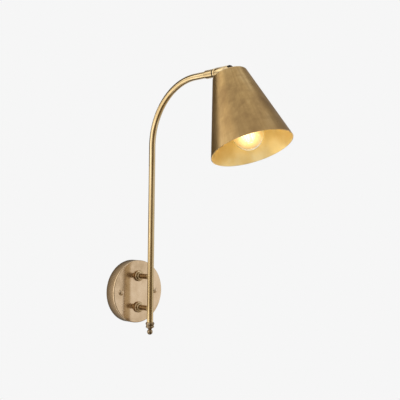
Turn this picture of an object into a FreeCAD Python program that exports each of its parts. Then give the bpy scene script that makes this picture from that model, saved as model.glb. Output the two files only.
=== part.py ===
import FreeCAD, Part
import math
import os

# Swan-neck wall lamp: a round wall plate, two turned posts, a bent tube with a
# turned finial below, a knuckle at the tube's end and a conical metal shade.
# Millimetres. The origin is the centre of the plate's back, on the wall.
# The wall is the plane y = 0, the room is at -Y and up is +Z.

os.makedirs("parts", exist_ok=True)

# Shared allowances
overrun = 1.0
same_place = 1e-6
bead_bulge_share = 0.32
fixed_clearance = 0.05
running_clearance = 0.08
side_clearance = 0.15

# Wall plate, a shallow cup
plate_dia = 100.0
plate_depth = 18.5
plate_wall = 1.2
plate_edge_radius = 1.4

# Bracket behind the plate, a folded strap
strap_width = 16.0
strap_thickness = 1.5
strap_bend_radius = 0.8
leg_x = 32.0
ear_end_x = 42.0
ear_corner_radius = 4.0
fixing_spacing = 50.8
fixing_slot_width = 4.5
fixing_slot_length = 6.5
cable_hole_dia = 11.0

# Screws that hold the plate to the bracket
cover_screw_x = 35.2
cover_screw_dia = 4.0
cover_screw_length = 7.0
cover_head_dia = 9.4
cover_head_height = 2.4
cover_slot_width = 1.1
cover_slot_depth = 1.2

# Earth screw and terminal block on the bracket
earth_x = 13.0
earth_screw_dia = 4.0
earth_head_dia = 8.0
earth_head_height = 2.6
earth_slot_width = 1.1
block_x = 13.0
block_length = 14.0
block_pole_pitch = 6.0
block_height = 10.5
block_base_height = 5.0
block_turret_dia = 5.4
block_wire_hole_dia = 2.8
block_wire_height = 4.2
block_screw_dia = 3.2
block_head_dia = 4.8
block_screw_depth = 5.4
block_slot_width = 0.7

# Turned posts between the plate and the arm
post_spacing = 50.0
post_dia = 8.5
post_bore_dia = 5.0
ring_one_dia = 17.5
ring_one_width = 3.8
ring_gap_width = 0.6
ring_gap_dia = 11.6
ring_two_dia = 13.5
ring_two_width = 2.8
tail_dia = 8.0
tail_end_spare = 1.6
post_washer_dia = 16.0
post_washer_thickness = 1.2
post_nut_flats = 13.0
post_nut_thickness = 4.5

# Arm, a bent tube in the plane x = 0
arm_out = 48.4
arm_dia = 10.0
arm_wall = 1.0
arm_tail = 46.3
bend_start_z = 231.8
bend_radius = 100.0
arm_rise_deg = 1.5

# Finial under the arm
bead_one_dia = 14.0
bead_one_height = 5.0
bead_gap_height = 0.5
bead_gap_dia = 12.4
bead_two_dia = 13.3
bead_two_height = 3.6
finial_neck_dia = 5.0
finial_taper_height = 2.6
finial_ball_dia = 9.0
finial_spigot_length = 9.0

# Ferrule and swivel at the arm's end, along the arm's end axis
pivot_run = 68.0
ferrule_start = 22.2
ferrule_length = 16.3
ferrule_dia = 12.7
ferrule_lip_dia = 11.4
ferrule_lip_length = 1.4
ferrule_seat = 5.2
ferrule_flange = 3.4
washer_thickness = 1.6
washer_dia = 12.2
collar_length = 3.6
collar_dia = 13.4
collar_round = 1.2
neck_dia = 11.4
nipple_dia = 7.0
nipple_bore_dia = 4.4
nipple_nut_dia = 9.6
nipple_nut_thickness = 3.0
nipple_end_spare = 0.9

# Knuckle: a brass barrel with a nylon hinge block inside
barrel_dia = 14.1
barrel_wall = 1.2
barrel_back_run = 22.8
barrel_back_wall = 3.0
barrel_back_chamfer = 1.0
hood_end_run = 3.0
hood_lip_height = 3.0
ear_radius = 5.7
ear_back_height = 2.5
relief_back_run = 7.5
block_back_run = 13.6
block_nose_run = 4.8
block_nose_round = 1.2
block_under_radius = 5.5
tongue_thickness = 4.6
tongue_radius = 4.2
pocket_radius = 4.6
block_channel_dia = 4.0
pivot_screw_dia = 4.0
pivot_head_dia = 5.8
pivot_head_height = 1.0
pivot_seat_x = 6.2
pivot_slot_width = 0.9
pivot_slot_depth = 0.6
pivot_nut_flats = 6.6
pivot_nut_thickness = 2.6

# Shade, a truncated cone of sheet brass hanging from the stem
shade_tilt_deg = 22.7
pivot_height = 7.6
shade_height = 118.0
shade_mouth_dia = 120.0
shade_top_dia = 51.0
shade_wall = 0.9
shade_corner_radius = 2.2

# Stem: tongue above the shade, threaded shank inside it
stem_collar_dia = 13.0
stem_collar_thickness = 1.5
stem_dia = 10.0
stem_bore_dia = 6.0
stem_length = 19.0
wire_slot_width = 2.6
wire_slot_top = 3.0
stem_washer_dia = 20.0
stem_washer_thickness = 1.0
locknut_flats = 14.0
locknut_thickness = 3.0

# Lampholder for a small screw-cap bulb
holder_dia = 27.6
holder_wall = 2.0
holder_cap_gap = 0.6
holder_cap_length = 15.5
holder_crown_dia = 16.0
holder_shoulder_length = 7.0
holder_skirt_length = 48.0
holder_joint_overlap = 3.0
holder_rib_height = 0.6
holder_rib_width = 2.4
insert_dia = 22.6
insert_length = 9.0
insert_depth = 8.5
insert_boss_dia = 12.6
insert_boss_length = 3.4
contact_rise = 3.0
insert_wire_dia = 2.4
shell_wall = 0.4
shell_length = 27.0
contact_width = 4.0
contact_thickness = 0.5

# Golf-ball bulb
bulb_dia = 45.0
bulb_length = 77.0
bulb_glass_wall = 0.8
bulb_neck_dia = 18.0
bulb_neck_round = 10.0
cap_dia = 13.9
cap_wall = 0.3
cap_length = 19.0
cap_insulator_length = 2.6
cap_insulator_dia = 9.6
cap_contact_dia = 4.8
cap_contact_length = 1.2
cap_flare_dia = 16.4
cap_flare_length = 3.0
mount_dia = 9.0
mount_length = 14.0
mount_tip_dia = 3.6
filament_count = 4
filament_dia = 1.6
filament_length = 25.0
filament_top_radius = 4.0
filament_foot_radius = 7.0
filament_lead_dia = 0.7

# Flex and leads
flex_dia = 4.2
flex_tail = 1.6
flex_entry_run = 0.5
flex_bend_radius = 4.3
knuckle_flex_dia = 3.4
lead_dia = 1.5
lead_drop = 6.0
lead_circle_share = 0.66
lead_elbow = 3.4
lead_bow = 5.0
lead_grip = 4.0
lead_reach_share = 0.45

# Ring terminal under the earth screw
ring_terminal_dia = 7.4
ring_terminal_thickness = 0.8
ring_barrel_dia = 3.0
ring_barrel_length = 5.0
ring_barrel_reach = 4.6

# Worked-out places
arm_radius = arm_dia / 2
bore_radius = arm_radius - arm_wall
arm_run = ferrule_start + ferrule_seat
flex_y = -arm_out + bore_radius - flex_entry_run - flex_bend_radius
post_tail = plate_wall + post_washer_thickness + post_nut_thickness + tail_end_spare
flex_end_y = post_tail - plate_depth + flex_tail
face_inner_depth = plate_depth - plate_wall
bend_sweep_deg = 90 - arm_rise_deg
bend_sweep = math.radians(bend_sweep_deg)
arm_rise = math.radians(arm_rise_deg)
bend_end_y = -arm_out - bend_radius + bend_radius * math.cos(bend_sweep)
bend_end_z = bend_start_z + bend_radius * math.sin(bend_sweep)
pivot_y = bend_end_y - pivot_run * math.cos(arm_rise)
pivot_z = bend_end_z + pivot_run * math.sin(arm_rise)
shade_top_at = pivot_height
shade_mouth_at = pivot_height + shade_height
nut_at = shade_top_at + shade_wall + stem_washer_thickness
holder_cap_at = nut_at + locknut_thickness + holder_cap_gap
holder_skirt_at = holder_cap_at + holder_cap_length - holder_joint_overlap
insert_at = holder_skirt_at + insert_depth
insert_end_at = insert_at + insert_length
shell_end_at = insert_end_at + shell_length
bulb_base_at = insert_end_at + insert_boss_length + contact_rise
bulb_tip_at = bulb_base_at + bulb_length
bulb_centre_at = bulb_tip_at - bulb_dia / 2
cap_foot_at = bulb_base_at + cap_contact_length + cap_insulator_length
glass_foot_at = cap_foot_at + cap_length + cap_flare_length
glass_lip_radius = cap_flare_dia / 2 - cap_wall - fixed_clearance

X_AXIS = FreeCAD.Vector(1, 0, 0)
Y_AXIS = FreeCAD.Vector(0, 1, 0)
Z_AXIS = FreeCAD.Vector(0, 0, 1)
ORIGIN = FreeCAD.Vector(0, 0, 0)


def vec(x, y, z):
    """A point or direction."""
    return FreeCAD.Vector(x, y, z)


def save(name, *solids):
    """Writes one node: one solid, or several that don't touch."""
    shape = solids[0] if len(solids) == 1 else Part.makeCompound(list(solids))
    for solid in shape.Solids:
        if not solid.isValid():
            print("not valid:", name)
    shape.exportStep("parts/" + name + ".step")
    print(name, len(shape.Solids), "solids", round(shape.Volume), "mm3")


def moved(shape, offset):
    """A copy of the shape, shifted."""
    copy = shape.copy()
    copy.translate(offset)
    return copy


def outline(points, to_vector):
    """A closed wire from (a, b) points; a triple (a, b, "arc") is the middle of an arc."""
    edges = []
    last = points[0]
    through = None
    for point in points[1:] + [points[0]]:
        if len(point) == 3:
            through = point
            continue
        start = to_vector(last[0], last[1])
        end = to_vector(point[0], point[1])
        if through:
            edges.append(Part.Arc(start, to_vector(through[0], through[1]), end).toShape())
            through = None
        elif start.distanceToPoint(end) > same_place:
            edges.append(Part.makeLine(start, end))
        last = point
    return Part.Wire(edges)


def turned(points):
    """A piece turned on the Z axis from (radius, height) points."""
    wire = outline(points, lambda radius, height: vec(radius, 0, height))
    return Part.Face(wire).revolve(ORIGIN, Z_AXIS, 360)


def rod(radius, start, end):
    """A round bar on the Z axis."""
    return Part.makeCylinder(radius, end - start, vec(0, 0, start))


def pipe(outer, inner, start, end):
    """A round sleeve on the Z axis."""
    return rod(outer, start, end).cut(rod(inner, start - overrun, end + overrun))


def cross_rod(radius, start, end):
    """A round bar along X."""
    return Part.makeCylinder(radius, end - start, vec(start, 0, 0), X_AXIS)


def bar_between(radius, start, end):
    """A round bar from one point to another."""
    return Part.makeCylinder(radius, start.distanceToPoint(end), start, end - start)


def hexagon(flats, start, end, hole_radius):
    """A hexagon nut on the Z axis."""
    corner = flats / 2 / math.cos(math.radians(30))
    angles = [math.radians(60 * step) for step in range(6)]
    points = [(corner * math.cos(angle), corner * math.sin(angle)) for angle in angles]
    wire = outline(points, lambda x, y: vec(x, y, start))
    nut = Part.Face(wire).extrude(vec(0, 0, end - start))
    return nut.cut(rod(hole_radius, start - overrun, end + overrun))


def slab(width, low, high):
    """A box centred on x = 0, between two (y, z) corners."""
    return Part.makeBox(width, high[0] - low[0], high[1] - low[1], vec(-width / 2, low[0], low[1]))


def side_profile(points, half_width):
    """A piece cut from plate: a (y, z) outline, thick along X."""
    wire = outline(points, lambda y, z: vec(-half_width, y, z))
    return Part.Face(wire).extrude(vec(2 * half_width, 0, 0))


def facing_room(shape):
    """Turns a piece from +Z to -Y."""
    copy = shape.copy()
    copy.rotate(ORIGIN, X_AXIS, 90)
    return copy


def at_head(shape):
    """Sets a piece on the arm's end axis: its own +Z runs forward, with 0 at the pivot."""
    return leaned(facing_room(shape))


def leaned(shape):
    """Sets a piece made with -Y forward and +Z up on the arm's end axis, at the pivot."""
    copy = shape.copy()
    copy.rotate(ORIGIN, X_AXIS, -arm_rise_deg)
    copy.translate(vec(0, pivot_y, pivot_z))
    return copy


def at_shade(shape):
    """Sets a piece made hanging down from the pivot along the shade's tilted axis."""
    copy = shape.copy()
    copy.rotate(ORIGIN, X_AXIS, -shade_tilt_deg)
    copy.translate(vec(0, pivot_y, pivot_z))
    return copy


def hanging(points):
    """A turned piece of the shade: the points are (radius, distance below the pivot)."""
    return turned([(point[0], -point[1]) + tuple(point[2:]) for point in points])


def arc_mid(centre, radius, angle_deg):
    """The middle point of a round corner, in outline form."""
    angle = math.radians(angle_deg)
    return (centre[0] + radius * math.cos(angle), centre[1] + radius * math.sin(angle), "arc")


def slot_cut(width, depth, length, top):
    """The driver slot of a screw head whose top is at this height."""
    return Part.makeBox(length, width, depth + overrun, vec(-length / 2, -width / 2, top - depth))


def dome_screw(shank_radius, shank_length, head_radius, head_height, slot_width, slot_depth):
    """A round-head screw on the Z axis with its head's seat at 0."""
    edge = head_height / 4
    ball = (head_radius ** 2 + (head_height - edge) ** 2) / (2 * (head_height - edge))
    half = math.asin(head_radius / ball) / 2
    mid = (ball * math.sin(half), head_height - ball + ball * math.cos(half), "arc")
    points = [(0, -shank_length), (shank_radius, -shank_length), (shank_radius, 0), (head_radius, 0)]
    points += [(head_radius, edge), mid, (0, head_height)]
    return turned(points).cut(slot_cut(slot_width, slot_depth, 2 * head_radius + overrun, head_height))


def make_backplate():
    """A drawn cup with a softened edge, open to the wall, holed for the posts and screws."""
    radius = plate_dia / 2
    rounding = plate_edge_radius
    inner = rounding - plate_wall if rounding > plate_wall else rounding / 2
    corner = (radius - rounding, plate_depth - rounding)
    inner_corner = (radius - plate_wall - inner, face_inner_depth - inner)
    points = [(radius - plate_wall, 0), (radius, 0), (radius, plate_depth - rounding)]
    points += [arc_mid(corner, rounding, 45), (radius - rounding, plate_depth), (0, plate_depth)]
    points += [(0, face_inner_depth), (inner_corner[0], face_inner_depth)]
    points += [arc_mid(inner_corner, inner, 45), (radius - plate_wall, inner_corner[1])]
    plate = facing_room(turned(points))
    for side in (-1, 1):
        tail_hole = rod(tail_dia / 2 + fixed_clearance, 0, plate_depth + overrun)
        plate = plate.cut(moved(facing_room(tail_hole), vec(0, 0, side * post_spacing / 2)))
        screw_hole = rod(cover_screw_dia / 2 + side_clearance, 0, plate_depth + overrun)
        plate = plate.cut(moved(facing_room(screw_hole), vec(side * cover_screw_x, 0, 0)))
    return plate


def bracket_profile():
    """The strap's folded section, drawn once for +X and mirrored; +b is away from the wall."""
    t = strap_thickness
    inner = strap_bend_radius
    outer = inner + t
    top = face_inner_depth
    foot = (leg_x - outer, outer)
    knee = (leg_x + inner, top - t - inner)
    right = [(leg_x - outer, 0), arc_mid(foot, outer, -45), (leg_x, outer)]
    right += [(leg_x, top - t - inner), arc_mid(knee, inner, 135), (leg_x + inner, top - t)]
    right += [(ear_end_x, top - t), (ear_end_x, top), (leg_x + inner, top)]
    right += [arc_mid(knee, outer, 135), (leg_x - t, top - t - inner)]
    right += [(leg_x - t, outer), arc_mid(foot, inner, -45), (leg_x - outer, t)]
    left = [(-point[0],) + tuple(point[1:]) for point in reversed(right)]
    return right + left


def make_bracket():
    """The folded strap: a foot on the wall, two legs and two ears under the plate's face."""
    wire = outline(bracket_profile(), lambda x, depth: vec(x, -depth, -strap_width / 2))
    bracket = Part.Face(wire).extrude(vec(0, 0, strap_width))
    ends = [edge for edge in bracket.Edges if is_ear_corner(edge)]
    bracket = bracket.makeFillet(ear_corner_radius, ends)
    through = strap_thickness + 2 * overrun
    bracket = bracket.cut(moved(facing_room(rod(cable_hole_dia / 2, 0, through)), vec(0, overrun, 0)))
    for side in (-1, 1):
        bracket = bracket.cut(moved(fixing_slot(), vec(side * fixing_spacing / 2, overrun, 0)))
        ear_hole = facing_room(rod(cover_screw_dia / 2 + fixed_clearance, 0, plate_depth))
        bracket = bracket.cut(moved(ear_hole, vec(side * cover_screw_x, 0, 0)))
    earth_hole = facing_room(rod(earth_screw_dia / 2 + fixed_clearance, 0, through))
    bracket = bracket.cut(moved(earth_hole, vec(-earth_x, overrun, 0)))
    block_hole = facing_room(rod(block_screw_dia / 2 + fixed_clearance, 0, through))
    return bracket.cut(moved(block_hole, vec(block_x, overrun, 0)))


def is_ear_corner(edge):
    """True for the short edges across the strap's thickness at the ends of its ears."""
    box = edge.BoundBox
    at_end = abs(abs(box.Center.x) - ear_end_x) < fixed_clearance
    return at_end and box.XLength < fixed_clearance and box.ZLength < fixed_clearance


def fixing_slot():
    """The cutter for a slotted fixing hole, long way along X."""
    radius = fixing_slot_width / 2
    reach = fixing_slot_length / 2 - radius
    depth = strap_thickness + 2 * overrun
    slot = Part.makeBox(2 * reach, depth, 2 * radius, vec(-reach, -depth, -radius))
    for side in (-1, 1):
        slot = slot.fuse(moved(facing_room(rod(radius, 0, depth)), vec(side * reach, 0, 0)))
    return slot.removeSplitter()


def make_cover_screws():
    """Two round-head screws with upright slots, through the plate into the ears."""
    screw = dome_screw(cover_screw_dia / 2, cover_screw_length, cover_head_dia / 2,
                       cover_head_height, cover_slot_width, cover_slot_depth)
    screw = facing_room(screw)
    screw.rotate(ORIGIN, Y_AXIS, 90)
    return [moved(screw, vec(side * cover_screw_x, -plate_depth, 0)) for side in (-1, 1)]


def make_earth_screw():
    """The earth lead's screw: its tip ends flush with the strap's back."""
    seat = strap_thickness + ring_terminal_thickness
    screw = dome_screw(earth_screw_dia / 2, seat, earth_head_dia / 2,
                       earth_head_height, earth_slot_width, earth_head_height / 2)
    return moved(facing_room(screw), vec(-earth_x, -seat, 0))


def make_earth_terminal():
    """A ring under the earth screw's head, with a crimped barrel for the lead above it."""
    start = strap_thickness
    end = start + ring_terminal_thickness
    half = ring_barrel_dia / 2
    foot = vec(0, ring_barrel_reach, start + half)
    well = vec(0, ring_barrel_reach + ring_terminal_thickness, start + half)
    ring = rod(ring_terminal_dia / 2, start, end)
    neck = Part.makeBox(2 * half, ring_barrel_reach, end - start, vec(-half, 0, start))
    barrel = Part.makeCylinder(half, ring_barrel_length, foot, Y_AXIS)
    terminal = ring.fuse([neck, barrel]).removeSplitter()
    terminal = terminal.cut(rod(earth_screw_dia / 2 + fixed_clearance, 0, end + overrun))
    bore = Part.makeCylinder(lead_dia / 2 + fixed_clearance, ring_barrel_length, well, Y_AXIS)
    return moved(facing_room(terminal.cut(bore)), vec(-earth_x, 0, 0))


def pole_places():
    """The x of each pole of the connector."""
    return [block_x + side * block_pole_pitch / 2 for side in (-1, 1)]


def turret_place():
    """How far each turret stands from the block's middle, along its poles."""
    return (block_length - block_turret_dia) / 2


def make_terminal_block():
    """A two-way screw connector: a base, two turrets and a wire hole along each pole."""
    width = 2 * block_pole_pitch
    top = strap_thickness + block_height
    hole = block_screw_dia / 2 + fixed_clearance
    turret_gap = turret_place()
    corner = vec(block_x - width / 2, -strap_thickness - block_base_height, -block_length / 2)
    block = Part.makeBox(width, block_base_height, block_length, corner)
    turret = facing_room(rod(block_turret_dia / 2, strap_thickness, top))
    well = facing_room(rod(hole, top - block_screw_depth, top + overrun))
    bore = rod(block_wire_hole_dia / 2, -block_length, block_length)
    for x in pole_places():
        for side in (-1, 1):
            block = block.fuse(moved(turret, vec(x, 0, side * turret_gap)))
    for x in pole_places():
        block = block.cut(moved(bore, vec(x, -strap_thickness - block_wire_height, 0)))
        for side in (-1, 1):
            block = block.cut(moved(well, vec(x, 0, side * turret_gap)))
    fixing = facing_room(rod(hole, 0, plate_depth))
    return block.cut(moved(fixing, vec(block_x, 0, 0))).removeSplitter()


def make_terminal_screws():
    """Four clamping screws in the turrets and one that holds the block to the bracket."""
    screws = []
    radius = block_screw_dia / 2
    bottom = strap_thickness + block_height - block_screw_depth
    top = strap_thickness + block_height - block_slot_width
    slot = slot_cut(block_slot_width, block_slot_width, block_screw_dia + overrun, top)
    clamp = facing_room(rod(radius, bottom, top).cut(slot))
    for x in pole_places():
        for side in (-1, 1):
            screws.append(moved(clamp, vec(x, 0, side * turret_place())))
    seat = strap_thickness + block_base_height
    holder = rod(radius, fixed_clearance, seat).fuse(rod(block_head_dia / 2, seat, seat + radius))
    slot = slot_cut(block_slot_width, block_slot_width, block_head_dia + overrun, seat + radius)
    screws.append(moved(facing_room(holder.cut(slot)), vec(block_x, 0, 0)))
    return screws


def bead(radius, start, end):
    """Outline points of a rounded bead on a turned piece."""
    crown = radius - abs(end - start) * bead_bulge_share
    return [(crown, start), (radius, (start + end) / 2, "arc"), (crown, end)]


def make_post(side, with_bore):
    """A turned post: tail with thread, two beads at the plate, and a shaft saddled to the arm."""
    ring_two_at = ring_one_width + ring_gap_width
    shaft_at = ring_two_at + ring_two_width
    points = [(0, -post_tail), (tail_dia / 2, -post_tail), (tail_dia / 2, 0)]
    points += bead(ring_one_dia / 2, 0, ring_one_width)
    points += [(ring_gap_dia / 2, ring_one_width), (ring_gap_dia / 2, ring_two_at)]
    points += bead(ring_two_dia / 2, ring_two_at, shaft_at)
    reach = arm_out - plate_depth
    points += [(post_dia / 2, shaft_at), (post_dia / 2, reach), (0, reach)]
    post = turned(points)
    if with_bore:
        post = post.cut(rod(post_bore_dia / 2, -post_tail - overrun, arm_out))
    post = moved(facing_room(post), vec(0, -plate_depth, side * post_spacing / 2))
    saddle = rod(arm_radius, -post_spacing / 2 - arm_dia, post_spacing / 2 + arm_dia)
    return post.cut(moved(saddle, vec(0, -arm_out, 0)))


def make_post_washers():
    """Two flat washers inside the plate, one on each post's tail."""
    start = face_inner_depth - post_washer_thickness
    hole = tail_dia / 2 + fixed_clearance
    washer = facing_room(pipe(post_washer_dia / 2, hole, start, face_inner_depth))
    return [moved(washer, vec(0, 0, side * post_spacing / 2)) for side in (-1, 1)]


def make_post_nuts():
    """Two nuts on the tails, against the washers."""
    end = face_inner_depth - post_washer_thickness
    nut = hexagon(post_nut_flats, end - post_nut_thickness, end, tail_dia / 2 + fixed_clearance)
    return [moved(facing_room(nut), vec(0, 0, side * post_spacing / 2)) for side in (-1, 1)]


def arm_solid(radius, start_y, tail, run):
    """A round bar along the arm: upright from a tail, bent and straight again."""
    disc = Part.Face(Part.Wire(Part.makeCircle(radius, vec(0, start_y, bend_start_z), Z_AXIS)))
    upright = disc.extrude(vec(0, 0, -bend_start_z - tail))
    centre = vec(0, -arm_out - bend_radius, bend_start_z)
    bend = disc.revolve(centre, X_AXIS, bend_sweep_deg)
    end_face = disc.copy()
    end_face.rotate(centre, X_AXIS, bend_sweep_deg)
    straight = end_face.extrude(vec(0, -run * math.cos(arm_rise), run * math.sin(arm_rise)))
    return upright.fuse([bend, straight])


def make_arm():
    """The bent tube, with the hole where the flex comes in from the upper post."""
    tube = arm_solid(arm_radius, -arm_out, arm_tail, arm_run)
    tube = tube.cut(arm_solid(bore_radius, -arm_out, arm_tail + overrun, arm_run + overrun))
    entry = facing_room(rod(post_bore_dia / 2, 0, arm_out))
    return tube.cut(moved(entry, vec(0, 0, post_spacing / 2)))


def make_arm_flex():
    """The flex: in through the upper post, up the arm and round its bend to the swivel."""
    end_run = pivot_run - nipple_back_run() - nipple_end_spare
    entry_z = post_spacing / 2
    flex = arm_solid(flex_dia / 2, flex_y, -entry_z - flex_bend_radius, end_run)
    disc = Part.Face(Part.Wire(Part.makeCircle(flex_dia / 2, vec(0, flex_end_y, entry_z), Y_AXIS)))
    bend_y = flex_y + flex_bend_radius
    entry = disc.extrude(vec(0, bend_y - flex_end_y, 0))
    corner = moved(disc, vec(0, bend_y - flex_end_y, 0))
    bend = corner.revolve(vec(0, bend_y, entry_z + flex_bend_radius), X_AXIS, -90)
    return flex.fuse([entry, bend]).removeSplitter()


def route_solid(points, radius):
    """A round lead along straight runs joined by tangent arcs as large as the runs allow."""
    pieces = []
    start = points[0]
    for place in range(1, len(points) - 1):
        before = points[place] - points[place - 1]
        after = points[place + 1] - points[place]
        turn = before.getAngle(after)
        reach = min(before.Length, after.Length) * lead_reach_share
        bend = reach / math.tan(turn / 2)
        before.normalize()
        after.normalize()
        corner_in = points[place] - before * reach
        corner_out = points[place] + after * reach
        axis = before.cross(after)
        inwards = axis.cross(before)
        inwards.normalize()
        disc = Part.Face(Part.Wire(Part.makeCircle(radius, corner_in, before)))
        pieces.append(bar_between(radius, start, corner_in))
        pieces.append(disc.revolve(corner_in + inwards * bend, axis, math.degrees(turn)))
        start = corner_out
    pieces.append(bar_between(radius, start, points[-1]))
    return pieces[0].fuse(pieces[1:]).removeSplitter()


def make_inner_leads():
    """Three leads fan out of the flex's end: two into the connector, one to the earth ring."""
    circle = lead_dia * lead_circle_share
    ends = [(x, -strap_thickness - block_wire_height, block_length / 2) for x in pole_places()]
    ends.append((-earth_x, -strap_thickness - ring_barrel_dia / 2, ring_barrel_reach + ring_barrel_length))
    leads = []
    for place, (x, y, z) in enumerate(ends):
        angle = math.radians(120 * place - 90)
        start = vec(circle * math.cos(angle), flex_end_y, post_spacing / 2 + circle * math.sin(angle))
        elbow = vec(start.x, -lead_elbow, start.z)
        route = [start, elbow, vec(x, y, z + lead_bow), vec(x, y, z - lead_grip)]
        leads.append(route_solid(route, lead_dia / 2))
    return leads


def make_finial():
    """Two beads and a ball, turned in one with a spigot that fits the tube."""
    spigot = bore_radius - fixed_clearance
    two_at = -bead_one_height - bead_gap_height
    taper_at = two_at - bead_two_height
    neck_at = taper_at - finial_taper_height
    neck = finial_neck_dia / 2
    ball = finial_ball_dia / 2
    ball_centre = neck_at - math.sqrt(ball ** 2 - neck ** 2)
    second = bead(bead_two_dia / 2, two_at, taper_at)
    shoulder = second[-1][0]
    hollow = ((neck + shoulder) / 2 - finial_taper_height / 4, (taper_at + neck_at) / 2, "arc")
    points = [(0, finial_spigot_length), (spigot, finial_spigot_length), (spigot, 0)]
    points += bead(bead_one_dia / 2, 0, -bead_one_height)
    points += [(bead_gap_dia / 2, -bead_one_height), (bead_gap_dia / 2, two_at)]
    points += second + [hollow, (neck, neck_at), (ball, ball_centre, "arc"), (0, ball_centre - ball)]
    return moved(turned(points), vec(0, -arm_out, -arm_tail))


def make_ferrule():
    """The collar on the arm's end: it holds the tube at one end and the swivel at the other."""
    start = ferrule_start - pivot_run
    end = start + ferrule_length
    lip = start + ferrule_lip_length
    radius = ferrule_dia / 2
    step = (ferrule_dia - ferrule_lip_dia) / 4
    bore = arm_radius + fixed_clearance
    hole = nipple_dia / 2 + running_clearance
    points = [(bore, start), (ferrule_lip_dia / 2, start), (ferrule_lip_dia / 2, lip)]
    points += [(radius - step, lip), (radius, lip + step), (radius, end - step)]
    points += [(radius - step, end), (hole, end)]
    points += [(hole, end - ferrule_flange), (bore, end - ferrule_flange)]
    return at_head(turned(points))


def ferrule_end():
    """The ferrule's front face, measured from the pivot."""
    return ferrule_start - pivot_run + ferrule_length


def collar_start():
    """The rear face of the swivel's collar, measured from the pivot."""
    return -barrel_back_run - neck_length() - collar_length


def neck_length():
    """What is left between the ferrule's washer and the barrel, past the collar."""
    washer_end = ferrule_end() + washer_thickness + 2 * side_clearance
    return -barrel_back_run - collar_length - washer_end


def nipple_back_run():
    """How far behind the pivot the nipple's rear end lies."""
    return -ferrule_end() + ferrule_flange + side_clearance + nipple_nut_thickness + nipple_end_spare


def make_swivel_washer():
    """The friction washer between the ferrule and the collar."""
    start = ferrule_end() + side_clearance
    hole = nipple_dia / 2 + running_clearance
    return at_head(pipe(washer_dia / 2, hole, start, start + washer_thickness))


def make_swivel_nipple():
    """A turned collar with a hollow threaded nipple at both ends."""
    back = -nipple_back_run()
    start = collar_start()
    end = start + collar_length
    radius = collar_dia / 2
    inner = nipple_dia / 2
    bore = nipple_bore_dia / 2
    front = -barrel_back_run + barrel_back_wall
    soft = collar_round * (1 - math.sqrt(0.5))
    points = [(bore, back), (inner, back), (inner, start), (radius - collar_round, start)]
    points += [(radius - soft, start + soft, "arc"), (radius, start + collar_round)]
    points += [(radius, end - collar_round), (radius - soft, end - soft, "arc")]
    points += [(radius - collar_round, end)]
    points += [(neck_dia / 2, end), (neck_dia / 2, -barrel_back_run), (inner, -barrel_back_run)]
    points += [(inner, front), (bore, front)]
    return at_head(turned(points))


def make_swivel_nut():
    """Holds the nipple in the ferrule: it lies inside, behind the ferrule's flange."""
    end = ferrule_end() - ferrule_flange - side_clearance
    start = end - nipple_nut_thickness
    return at_head(pipe(nipple_nut_dia / 2, nipple_dia / 2 + fixed_clearance, start, end))


def barrel_outline():
    """The knuckle seen from the side: hood above, rounded ears round the pivot, relief below."""
    radius = barrel_dia / 2
    reach = math.sqrt(ear_radius ** 2 - hood_lip_height ** 2)
    back_reach = math.sqrt(ear_radius ** 2 - ear_back_height ** 2)
    far = barrel_back_run + overrun
    high = radius + overrun
    points = [(far, high), (-hood_end_run, high), (-hood_end_run, hood_lip_height)]
    points += [(-reach, hood_lip_height), arc_mid((0, 0), ear_radius, 235), (back_reach, -ear_back_height)]
    points += [(relief_back_run, -ear_back_height), (relief_back_run, -high), (far, -high)]
    return points


def tongue_pocket():
    """The space that the tongue sweeps between its two stops, open to the front and below."""
    far = 2 * barrel_dia
    points = [(pocket_radius, -far), (pocket_radius, 0), arc_mid((0, 0), pocket_radius, 45)]
    points += [(0, pocket_radius), (-far, pocket_radius), (-far, -far)]
    return side_profile(points, tongue_thickness / 2 + side_clearance)


def make_knuckle_barrel():
    """A tube with a thick rear wall, cut away in front so that the tongue can swing."""
    radius = barrel_dia / 2
    inner = radius - barrel_wall
    back = -barrel_back_run
    chamfer = barrel_back_chamfer
    nose = ear_radius + overrun
    hole = nipple_dia / 2 + fixed_clearance
    points = [(hole, back), (radius - chamfer, back), (radius, back + chamfer), (radius, nose)]
    points += [(inner, nose), (inner, back + barrel_back_wall), (hole, back + barrel_back_wall)]
    barrel = facing_room(turned(points)).common(side_profile(barrel_outline(), barrel_dia))
    barrel = barrel.cut(tongue_pocket())
    barrel = barrel.cut(cross_rod(pivot_screw_dia / 2 + fixed_clearance, -barrel_dia, barrel_dia))
    seat = pivot_head_dia / 2 + side_clearance
    nut_seat = pivot_nut_flats / 2 / math.cos(math.radians(30)) + side_clearance
    barrel = barrel.cut(cross_rod(seat, -barrel_dia, -pivot_seat_x))
    barrel = barrel.cut(cross_rod(nut_seat, pivot_seat_x, barrel_dia))
    return leaned(barrel)


def block_outline():
    """The hinge block from the side: square at the back, rounded nose above, relieved below."""
    inner = barrel_dia / 2 - barrel_wall - fixed_clearance
    top = barrel_dia / 2
    back_reach = math.sqrt(block_under_radius ** 2 - ear_back_height ** 2)
    lip = hood_lip_height + side_clearance
    under = math.sqrt(block_under_radius ** 2 - lip ** 2)
    soft = block_nose_round * (1 - math.sqrt(0.5))
    relief = relief_back_run + side_clearance
    points = [(block_back_run, inner), (-hood_end_run - side_clearance, inner)]
    points += [(-hood_end_run - side_clearance, top), (-block_nose_run + block_nose_round, top)]
    points += [(-block_nose_run + soft, top - soft, "arc"), (-block_nose_run, top - block_nose_round)]
    points += [(-block_nose_run, lip), (-under, lip)]
    points += [arc_mid((0, 0), block_under_radius, 235), (back_reach, -ear_back_height)]
    points += [(relief, -ear_back_height), (relief, -inner), (block_back_run, -inner)]
    return points


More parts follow.
